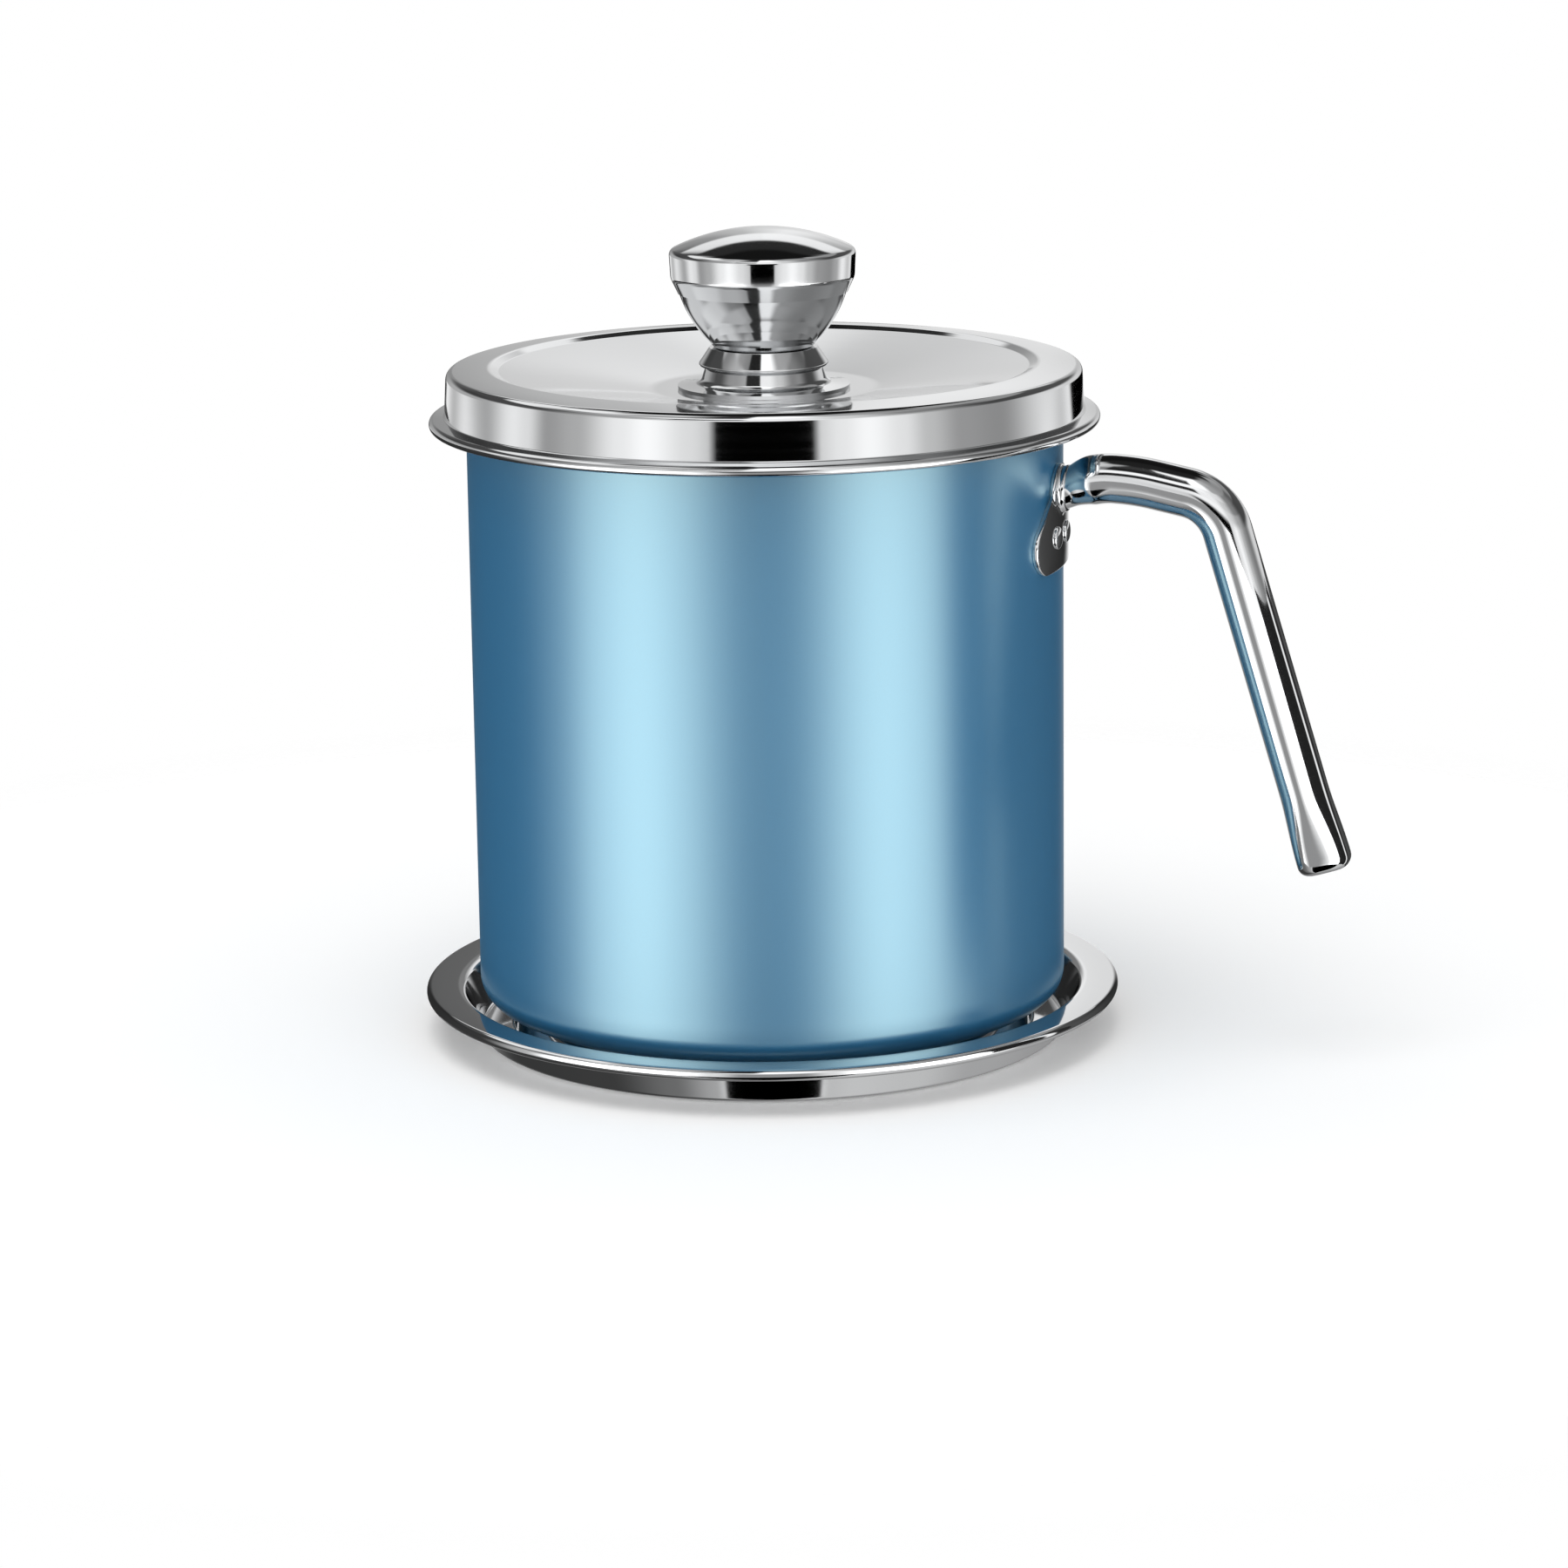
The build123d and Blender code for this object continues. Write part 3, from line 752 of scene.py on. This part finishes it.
def bendHandle():
    crown = root + rootRun * handle["crownReach"] / rootRun.x
    gripAngle = turned(handle["gripAngle"])
    gripRun = Vector((math.sin(gripAngle), -math.cos(gripAngle)))
    bend = Vector((handle["gripBend"][0], crown.y + handle["gripBend"][1]))
    tip = bend + gripRun * handle["gripLength"]
    corners = [
        root,
        crown,
        (handle["softBend"][0], crown.y + handle["softBend"][1]),
        bend,
        tip - gripRun * handle["pressed"],
    ]
    line = roundedLine(corners, handle["bends"], 16)
    # more rings where the root is necked
    start, straight, neckSteps = 2, (line[1] - root).length, 10
    neck = [
        root + rootRun * (start + (straight - start) * k / neckSteps) for k in range(neckSteps)
    ]
    line = line[:1] + neck + line[1:]
    stations = [(spot, None, 0.0, 0.0) for spot in line]
    # the last stretch is pressed a little flat and ends in a rounded edge
    pressSteps, endSteps = 14, 7
    flat = handle["pressed"] - handle["endRound"]
    for k in range(1, pressSteps + 1):
        share = k / pressSteps
        ease = share * share * (3 - 2 * share)
        stations.append((line[-1] + gripRun * flat * share, gripRun, ease, 0.0))
    for k in range(1, endSteps + 1):
        angle = math.pi / 2 * k / endSteps
        spot = line[-1] + gripRun * (flat + handle["endRound"] * math.sin(angle))
        trim = handle["endRound"] * (1 - math.cos(angle)) * handle["endFull"]
        stations.append((spot, gripRun, 1.0, trim))
    rings = []
    around = 64
    for place, (spot, run, press, trim) in enumerate(stations):
        if run is None:
            before = line[max(place - 1, 0)]
            after = line[min(place + 1, len(line) - 1)]
            run = (after - before).normalized()
        side = Vector((-run.y, run.x))
        share = min(max(((spot - root).length - handle["neck"]) / handle["taper"], 0), 1)
        tube = handle["root"] + (handle["tube"] - handle["root"]) * share * share * (3 - 2 * share)
        wide = tube + (handle["pressedWide"] - tube) * press - trim
        deep = tube + (handle["pressedDeep"] - tube) * press - trim
        power = 2 / (2 + handle["pressedSquare"] * press)
        ring = []
        for k in range(around):
            angle = 2 * math.pi * k / around
            c, s = math.cos(angle), math.sin(angle)
            across = wide * math.copysign(abs(c) ** power, c)
            level = deep * math.copysign(abs(s) ** power, s)
            flatSpot = spot + side * across
            ring.append(Vector((flatSpot.x, level, flatSpot.y)))
        rings.append(ring)
    # the tube's root is coped to the pot's wall
    wall = pot["radius"] + handle["wallGap"]
    for p in rings[0]:
        inside = max(wall * wall - p.y * p.y, 0) ** 0.5
        step = (inside - p.x) / rootRun.x
        p.x += rootRun.x * step
        p.z += rootRun.y * step
    rings = [[p * mm for p in ring] for ring in rings]
    piece = ringsPiece("handleTube", rings, [mirror], sharpAngle=70)
    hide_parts("handle_tube")
    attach(piece, "pot")


bracket = {
    "sheet": 1.2,
    "topRadius": 5.2,
    "topDrop": 1.5,
    "earReach": 10.3,
    "earDrop": 10.9,
    "earRadius": 6.0,
    "edgeRound": 0.45,
    "collarWall": 0.45,
    "collarBend": 0.75,
    "collarReach": 2.8,
    "wallGap": 0.03,
    "holeGap": 0.02,
    "backEdge": 0.1,  # chamfer on the side of the wall
    "leastFlat": 0.2,  # between the collar's bend and the rounded edge
    "lip": ((0, 0.3), (0.12, 0.07), (0.35, 0)),  # in from the collar's outside, and down
    "lipInside": 0.05,
}
rivets = {
    "spacing": 9.0,
    "drop": 9.5,
    "headRadius": 2.5,
    "headHeight": 1.0,
    "headSide": 0.15,
    "shank": 1.5,
    "tailHeight": 0.7,
    "tailBevel": (0.4, 0.3),  # in and up
    "steps": 48,
}


def bracketOutline(count):
    # shield shape in the wall's plane, measured from the tube's root, by the way round
    rounds = [
        (0, -bracket["topDrop"], bracket["topRadius"]),
        (-bracket["earReach"], -bracket["earDrop"], bracket["earRadius"]),
        (bracket["earReach"], -bracket["earDrop"], bracket["earRadius"]),
    ]
    cloud, around = [], 96
    for y, z, radius in rounds:
        for k in range(around):
            angle = 2 * math.pi * k / around
            cloud.append(Vector((y + radius * math.cos(angle), z + radius * math.sin(angle))))
    hull = [cloud[i] for i in convex_hull_2d(cloud)]
    reaches = []
    for k in range(count):
        angle = 2 * math.pi * k / count
        ray = Vector((math.cos(angle), math.sin(angle)))
        best = 0.0
        for a, b in zip(hull, hull[1:] + hull[:1]):
            edge = b - a
            denominator = ray.x * edge.y - ray.y * edge.x
            if abs(denominator) < 1e-9:
                continue
            along = (a.x * edge.y - a.y * edge.x) / denominator
            share = (a.x * ray.y - a.y * ray.x) / denominator
            if along > 0 and -1e-6 <= share <= 1 + 1e-6:
                best = max(best, along)
        reaches.append(best)
    return reaches


def pressBracket():
    count = 128
    reaches = bracketOutline(count)
    plate = pot["radius"] + bracket["sheet"]
    axis = Vector((rootRun.x, 0, rootRun.y))
    sideways = Vector((0, 1, 0))
    upward = axis.cross(sideways) * -1
    foot = Vector((root.x, 0, root.y))

    def onWall(angle, reach, lift):
        y = reach * math.cos(angle)
        z = reach * math.sin(angle)
        out = pot["radius"] + lift
        return Vector(((out * out - y * y) ** 0.5, y, root.y + z))

    def onCollar(angle, radius, lift, surface):
        # point at a radius about the tube, set off along it from the given round surface
        start = foot + sideways * radius * math.cos(angle) + upward * radius * math.sin(angle)
        # along the tube's axis to the surface
        a = axis.x * axis.x
        b = 2 * start.x * axis.x
        c = start.x**2 + start.y**2 - surface**2
        step = (-b + (b * b - 4 * a * c) ** 0.5) / (2 * a)
        return start + axis * (step + lift)

    angles = [2 * math.pi * k / count for k in range(count)]
    edge = bracket["edgeRound"]
    hole = handle["root"] + bracket["holeGap"]
    gap = bracket["wallGap"]
    back = bracket["backEdge"]
    collar = handle["root"] + bracket["collarWall"]
    bend = bracket["collarBend"]
    least = collar + bend + edge + bracket["leastFlat"]
    reaches = [max(reach, least) for reach in reaches]
    edgeSteps, flatSteps, bendSteps = 4, 7, 6
    rings = [
        [onCollar(a, hole, 0, pot["radius"] + gap) for a in angles],
        [onWall(a, r - back, gap) for a, r in zip(angles, reaches)],
        [onWall(a, r, gap + back) for a, r in zip(angles, reaches)],
    ]
    for k in range(edgeSteps + 1):
        turn = math.pi / 2 * k / edgeSteps
        inset = edge * (1 - math.cos(turn))
        lift = bracket["sheet"] - edge + edge * math.sin(turn)
        rings.append([onWall(a, r - inset, lift) for a, r in zip(angles, reaches)])
    start = [onCollar(a, collar + bend, 0, plate) for a in angles]
    outer = rings[-1]
    for k in range(1, flatSteps):
        share = k / flatSteps
        row = []
        for near, far in zip(start, outer):
            spot = far.lerp(near, share)
            spot.x = (plate * plate - spot.y * spot.y) ** 0.5
            row.append(spot)
        rings.append(row)
    for k in range(bendSteps + 1):
        turn = math.pi / 2 * k / bendSteps
        radius = collar + bend * (1 - math.sin(turn))
        rings.append([onCollar(a, radius, bend * (1 - math.cos(turn)), plate) for a in angles])
    top = bracket["collarReach"] - bracket["sheet"]
    # rounded lip, from the collar's outside over its top to the hole
    for inset, drop in bracket["lip"]:
        rings.append([onCollar(a, collar - inset, top - drop, plate) for a in angles])
    rings.append([onCollar(a, hole, top - bracket["lipInside"], plate) for a in angles])
    rings = [[p * mm for p in ring] for ring in rings]
    piece = ringsPiece("handleBracket", rings, [mirror], closed=True, sharpAngle=55)
    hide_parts("handle_bracket")
    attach(piece, "pot")


def setRivets():
    # one turned rivet, set twice on the plate by a node tree
    head, side = rivets["headRadius"], rivets["headSide"]
    inside = -bracket["sheet"] - pot["sheet"]
    low = inside - rivets["tailHeight"]
    inset, rise = rivets["tailBevel"]
    outline = [
        (0, low),
        (head - inset, low),
        (head, low + rise),
        (head, inside),
        (rivets["shank"], inside),
        (rivets["shank"], 0),
        (head, 0),
    ]
    domeSteps = 12
    for k in range(domeSteps + 1):
        angle = math.pi / 2 * k / domeSteps
        height = side + (rivets["headHeight"] - side) * math.sin(angle)
        outline.append((head * math.cos(angle), height))
    section = [Vector(spot) for spot in outline]
    section[-1].x = 0.0
    single = turnedPiece("rivetPattern", section, [mirror], steps=rivets["steps"])

    tree, sockets, given = newTree(
        "setRivets",
        {"Rivet": "Object", "Plate Radius": "Float", "Height": "Float", "Half Angle": "Float"},
    )
    index = addNode(tree, "GeometryNodeInputIndex")
    # -1 for the first rivet and +1 for the second
    sideSign = addNode(
        tree, "ShaderNodeMath", {"operation": "MULTIPLY_ADD"}, {1: 2.0, 2: -1.0}, {0: index}
    )
    halfAngle, plateRadius = (given, "Half Angle"), (given, "Plate Radius")
    swing = addNode(tree, "ShaderNodeMath", times, links={0: sideSign, 1: halfAngle})
    cosine = addNode(tree, "ShaderNodeMath", {"operation": "COSINE"}, links={0: swing})
    sine = addNode(tree, "ShaderNodeMath", {"operation": "SINE"}, links={0: swing})
    placeX = addNode(tree, "ShaderNodeMath", times, links={0: cosine, 1: plateRadius})
    placeY = addNode(tree, "ShaderNodeMath", times, links={0: sine, 1: plateRadius})
    place = addNode(
        tree, "ShaderNodeCombineXYZ", links={0: placeX, 1: placeY, 2: (given, "Height")}
    )
    spots = addNode(tree, "GeometryNodePoints", values={"Count": 2}, links={"Position": place})
    outward = addNode(tree, "ShaderNodeCombineXYZ", links={0: cosine, 1: sine})
    aim = addNode(
        tree, "FunctionNodeAlignRotationToVector", {"axis": "Z"}, links={"Vector": outward}
    )
    source = addNode(tree, "GeometryNodeObjectInfo", links={"Object": (given, "Rivet")})
    riveted = addNode(
        tree,
        "GeometryNodeInstanceOnPoints",
        links={"Points": spots, "Instance": (source, "Geometry"), "Rotation": aim},
    )
    endTree(tree, given, riveted)
    plate = pot["radius"] + bracket["sheet"]
    values = {
        "Rivet": single,
        "Plate Radius": plate * mm,
        "Height": (handle["rootHeight"] - rivets["drop"]) * mm,
        "Half Angle": math.asin(rivets["spacing"] / 2 / plate),
        "Finish": mirror,
    }
    piece = growPiece("bracketRivets", tree, sockets, values)
    bpy.data.objects.remove(single)
    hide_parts("bracket_rivets")
    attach(piece, "pot")


strainer = {
    "sheet": 0.5,
    "gap": 0.25,
    "depth": 34.0,
    "radius": 64.8,
    "draft": 2.6,
    "bend": 1.5,
    "flange": 67.4,
    "curl": 0.75,
    "ledge": 8.0,
    "meshLap": 3.3,
    "meshThick": 0.6,
    "ringThick": 0.8,
    "ringLap": 6.5,
    "wirePitch": 3.0,
    "wire": 0.275,  # thickness
    "wireSides": 5,
    "wireSteps": 140,
}
flangeBottom = pot["top"] + strainer["gap"]
strainerFloor = flangeBottom - strainer["depth"]
ledgeRadius = strainer["radius"] - strainer["draft"] - strainer["ledge"]


def pressStrainer():
    corners = [
        (ledgeRadius, strainerFloor),
        (strainer["radius"] - strainer["draft"], strainerFloor),
        (strainer["radius"], flangeBottom),
        (strainer["flange"] - strainer["curl"], flangeBottom),
    ]
    line = roundedLine(corners, [strainer["bend"] + strainer["sheet"], strainer["bend"]])
    addCurl(line, strainer["curl"], -curlTurn)
    piece = turnedPiece("strainerCup", sheetSection(line, strainer["sheet"]), [satin])
    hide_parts("strainer_cup")
    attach(piece, "strainer")
    low = strainerFloor + strainer["sheet"] + strainer["meshThick"]
    high = low + strainer["ringThick"]
    outer = ledgeRadius + strainer["ringLap"]
    soft = strainer["ringThick"] / 3
    inner = ledgeRadius
    corners = [(inner, low), (outer, low), (outer, high), (inner, high), (inner, low)]
    section = roundedLine(corners, [0, soft, soft], 4)[:-1]
    piece = turnedPiece("meshRing", section, [satin])
    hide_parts("mesh_ring")
    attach(piece, "strainer")


def weaveMesh():
    # plain weave: wires along X pass over and under the wires along Y
    tree, sockets, given = newTree(
        "weaveMesh",
        {"Radius": "Float", "Pitch": "Float", "Wire": "Float", "Count": "Int", "Height": "Float"},
    )
    radius, pitch, wire = [(given, title) for title in ("Radius", "Pitch", "Wire")]
    halfWire = addNode(tree, "ShaderNodeMath", times, {1: 0.5}, {0: wire})

    def wires(turn, phase):
        index = addNode(tree, "GeometryNodeInputIndex")
        half = addNode(tree, "ShaderNodeMath", times, {1: 0.5}, {0: (given, "Count")})
        middle = addNode(tree, "ShaderNodeMath", plus, {1: 0.5}, {0: index})
        fromCentre = addNode(tree, "ShaderNodeMath", minus, links={0: middle, 1: half})
        offset = addNode(tree, "ShaderNodeMath", times, links={0: fromCentre, 1: pitch})
        place = addNode(tree, "ShaderNodeCombineXYZ", links={1: offset})
        spots = addNode(
            tree, "GeometryNodePoints", links={"Count": (given, "Count"), "Position": place}
        )
        # each wire is as long as the round screen is wide there
        radiusSquare = addNode(tree, "ShaderNodeMath", times, links={0: radius, 1: radius})
        offsetSquare = addNode(tree, "ShaderNodeMath", times, links={0: offset, 1: offset})
        square = addNode(tree, "ShaderNodeMath", minus, links={0: radiusSquare, 1: offsetSquare})
        most = addNode(tree, "ShaderNodeMath", {"operation": "MAXIMUM"}, {1: 1e-8}, {0: square})
        reach = addNode(tree, "ShaderNodeMath", {"operation": "SQRT"}, links={0: most})
        stretch = addNode(tree, "ShaderNodeCombineXYZ", values={1: 1.0, 2: 1.0}, links={0: reach})
        straight = addNode(
            tree, "GeometryNodeCurvePrimitiveLine", values={"Start": (-1, 0, 0), "End": (1, 0, 0)}
        )
        divided = addNode(
            tree,
            "GeometryNodeResampleCurve",
            values={"Count": strainer["wireSteps"]},
            links={"Curve": straight},
        )
        laid = addNode(
            tree,
            "GeometryNodeInstanceOnPoints",
            links={"Points": spots, "Instance": divided, "Scale": stretch},
        )
        numbered = addNode(
            tree,
            "GeometryNodeStoreNamedAttribute",
            {"domain": "INSTANCE"},
            {"Name": "wireNumber"},
            {"Geometry": laid, "Value": index},
        )
        real = addNode(tree, "GeometryNodeRealizeInstances", links={0: numbered})
        number = addNode(
            tree, "GeometryNodeInputNamedAttribute", {"data_type": "FLOAT"}, {"Name": "wireNumber"}
        )
        spot = addNode(tree, "GeometryNodeInputPosition")
        split = addNode(tree, "ShaderNodeSeparateXYZ", links={0: spot})
        # up and down by half a wave from one crossing to the next, and from wire to wire
        crossings = addNode(tree, "ShaderNodeMath", over, links={0: split, 1: pitch})
        byWire = addNode(tree, "ShaderNodeMath", plus, links={0: crossings, 1: number})
        shifted = addNode(tree, "ShaderNodeMath", plus, {1: phase}, {0: byWire})
        angle = addNode(tree, "ShaderNodeMath", times, {1: math.pi}, {0: shifted})
        wave = addNode(tree, "ShaderNodeMath", {"operation": "COSINE"}, links={0: angle})
        lift = addNode(tree, "ShaderNodeMath", times, links={0: wave, 1: halfWire})
        up = addNode(tree, "ShaderNodeCombineXYZ", links={2: lift})
        woven = addNode(tree, "GeometryNodeSetPosition", links={"Geometry": real, "Offset": up})
        return addNode(
            tree,
            "GeometryNodeTransform",
            values={"Rotation": (0, 0, turn)},
            links={"Geometry": woven},
        )

    along, across = wires(0.0, 0.0), wires(math.pi / 2, 1.0)
    joined = addNode(tree, "GeometryNodeJoinGeometry", links={0: along})
    tree.links.new(across.outputs[0], joined.inputs[0])
    raised = addNode(tree, "ShaderNodeCombineXYZ", links={2: (given, "Height")})
    moved = addNode(
        tree, "GeometryNodeTransform", links={"Geometry": joined, "Translation": raised}
    )
    profile = addNode(
        tree,
        "GeometryNodeCurvePrimitiveCircle",
        values={"Resolution": strainer["wireSides"]},
        links={"Radius": halfWire},
    )
    tubes = addNode(
        tree,
        "GeometryNodeCurveToMesh",
        values={"Fill Caps": True},
        links={"Curve": moved, "Profile Curve": profile},
    )
    endTree(tree, given, tubes)
    reach = ledgeRadius + strainer["meshLap"]
    values = {
        "Radius": reach * mm,
        "Pitch": strainer["wirePitch"] * mm,
        "Wire": strainer["wire"] * mm,
        "Count": int(2 * reach / strainer["wirePitch"]),
        "Height": (strainerFloor + strainer["sheet"] + strainer["meshThick"] / 2) * mm,
        "Finish": satin,
    }
    piece = growPiece("wovenScreen", tree, sockets, values)
    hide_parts("strainer_mesh")
    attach(piece, "strainer")


lid = {
    "sheet": 0.6,
    "underside": flangeBottom + 2 * strainer["curl"] + strainer["gap"],
    "inner": 69.8,
    "skirtDepth": 9.9,
    "flare": 0.6,
    "shoulder": 1.8,
    "brimWidth": 4.1,
    "brimDrop": 0.4,
    "brimCurl": 1.2,
    "crest": 61.0,
    "crestRise": 0.75,
    "stepWidth": 2.1,
    "stepDrop": 0.85,
    "stepBend": 2.0,
    "dishDepth": 4.85,
    "dishBend": 18.0,
    "seat": 25.0,
    "hole": 2.7,
}
knobSeat = lid["underside"] - lid["dishDepth"] + lid["sheet"]


def pressLid():
    low = lid["underside"]
    skirtFoot = lid["inner"] + lid["flare"]
    brimEnd = skirtFoot + lid["brimWidth"] - lid["brimCurl"]
    corners = [
        (lid["hole"], low - lid["dishDepth"]),
        (lid["seat"], low - lid["dishDepth"]),
        (lid["crest"] - lid["stepWidth"], low + lid["crestRise"] - lid["stepDrop"]),
        (lid["crest"], low + lid["crestRise"]),
        (lid["inner"], low),
        (skirtFoot, low - lid["skirtDepth"]),
        (brimEnd, low - lid["skirtDepth"] - lid["brimDrop"]),
    ]
    radii = [
        lid["dishBend"],
        lid["stepBend"],
        lid["stepBend"],
        lid["shoulder"] - lid["sheet"],
        lid["sheet"] * 1.5,
    ]
    line = roundedLine(corners, radii, 10)
    addCurl(line, lid["brimCurl"] - lid["sheet"], curlTurn)
    piece = turnedPiece("lidShell", sheetSection(line, lid["sheet"]), [mirror])
    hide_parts("lid_shell")
    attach(piece, "lid")


knob = {
    "ferrule": 0.8,
    "foot": 19.1,
    "waist": 14.1,
    "waistHeight": 1.2,
    "neckIn": 12.9,
    "ferruleBends": (0.96, 1.76),
    "lip": 0.8,
    "ferruleHeight": 5.0,
    "collarFoot": 14.8,
    "collarTop": 12.0,
    "collarHeight": 4.1,
    "collarEdge": 0.5,
    "sheet": 0.6,
    "neck": 10.9,
    "neckBend": 0.9,
    "bodyHeight": 12.1,
    "bodyTop": 18.5,
    "bulge": 0.8,
    "seamLip": 0.25,
    "flareHeight": 3.4,
    "bandFoot": 20.35,
    "bandBend": 3.0,
    "radius": 20.65,
    "band": 6.0,
    "edge": 1.5,
    "dome": 4.85,
    "boss": 5.0,
}
collarBottom = knobSeat + knob["ferruleHeight"]
bodyBottom = collarBottom + knob["collarHeight"]
capBottom = bodyBottom + knob["bodyHeight"]
bandBottom = capBottom + knob["flareHeight"]
bandTop = bandBottom + knob["band"]


def arcThrough(start, middle, end, steps):
    # points on the circle through three points, from the first to the last
    ax, ay, bx, by, cx, cy = *start, *middle, *end
    a, b, c = ax**2 + ay**2, bx**2 + by**2, cx**2 + cy**2
    double = 2 * (ax * (by - cy) + bx * (cy - ay) + cx * (ay - by))
    x = (a * (by - cy) + b * (cy - ay) + c * (ay - by)) / double
    y = (a * (cx - bx) + b * (ax - cx) + c * (bx - ax)) / double
    centre = Vector((x, y))
    first = Vector(start) - centre
    last = Vector(end) - centre
    turn = math.atan2(first.cross(last), first.dot(last))
    return [centre + Matrix.Rotation(turn * k / steps, 2) @ first for k in range(steps + 1)]


def spinKnob():
    # ferrule on the lid's seat
    corners = [
        (lid["hole"], collarBottom),
        (knob["neckIn"], collarBottom),
        (knob["waist"], knobSeat + knob["waistHeight"]),
        (knob["foot"], knobSeat + knob["lip"]),
    ]
    line = roundedLine(corners, knob["ferruleBends"])
    other = leftOf(line, -knob["ferrule"])
    piece = turnedPiece("knobFerrule", line + other[::-1], [mirror])
    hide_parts("knob_base")
    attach(piece, "lid")

    # turned collar
    corners = [
        (lid["hole"], collarBottom),
        (knob["collarFoot"], collarBottom),
        (knob["collarTop"], bodyBottom),
        (lid["hole"], bodyBottom),
        (lid["hole"], collarBottom),
    ]
    section = roundedLine(corners, [knob["collarEdge"], 0, 0])[:-1]
    piece = turnedPiece("knobCollar", section, [mirror])
    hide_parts("knob_collar")
    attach(piece, "lid")

    # spun body up to the seam
    start, end = (knob["neck"], bodyBottom), (knob["bodyTop"], capBottom)
    middle = (Vector(start) + Vector(end)) / 2 + Vector((knob["bulge"], -knob["bulge"] / 2))
    side = arcThrough(start, middle, end, 24)
    pastNeck = 6  # the point of the side where the neck's bend is over
    corners = [(knob["boss"], bodyBottom), side[0], side[pastNeck]]
    line = roundedLine(corners, [knob["neckBend"]])[:-1] + side[pastNeck:]
    piece = turnedPiece("knobBody", sheetSection(line, knob["sheet"], False), [mirror])
    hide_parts("knob_body")
    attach(piece, "lid")

    # spun cap: flare, band and dome
    domeRadius = (knob["radius"] ** 2 + knob["dome"] ** 2) / (2 * knob["dome"])
    domeCentre = bandTop + knob["dome"] - domeRadius
    halfWay = knob["radius"] / 2
    middle = (halfWay, domeCentre + (domeRadius**2 - halfWay**2) ** 0.5)
    dome = arcThrough((knob["radius"], bandTop), middle, (0, bandTop + knob["dome"]), 32)
    pastEdge = 3  # the point of the dome where the edge's bend is over
    corners = [
        (knob["bodyTop"] + knob["seamLip"], capBottom),
        (knob["bandFoot"], bandBottom),
        dome[0],
        dome[pastEdge],
    ]
    line = roundedLine(corners, [knob["bandBend"], knob["edge"]])[:-1] + dome[pastEdge:]
    section = sheetSection(line, knob["sheet"], False)
    section[len(line) - 1].x = section[len(line)].x = 0.0
    piece = turnedPiece("knobCap", section, [mirror], sharpAngle=30)
    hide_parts("knob_cap")
    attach(piece, "lid")

    # the screw's pieces keep their solids and get their finish
    for name in ("knob_insert", "screw_washer", "knob_screw"):
        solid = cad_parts[name]
        solid.data.materials.clear()
        solid.data.materials.append(satin)


placeCamera()
buildStudioLight()
buildFloor()
hangLamp()
setCard("lowStudioWall", lowWall, levels["lowWall"])
setCard("darkSideBoard", sideBoard, levels["sideBoard"])
print("studio set")
pressTray()
drawPot()
print("tray and pot pressed")
bendHandle()
pressBracket()
setRivets()
print("handle fixed")
pressStrainer()
weaveMesh()
print("strainer woven")
pressLid()
spinKnob()
print("lid and knob spun")

bpy.context.scene.view_settings.view_transform = "Standard"
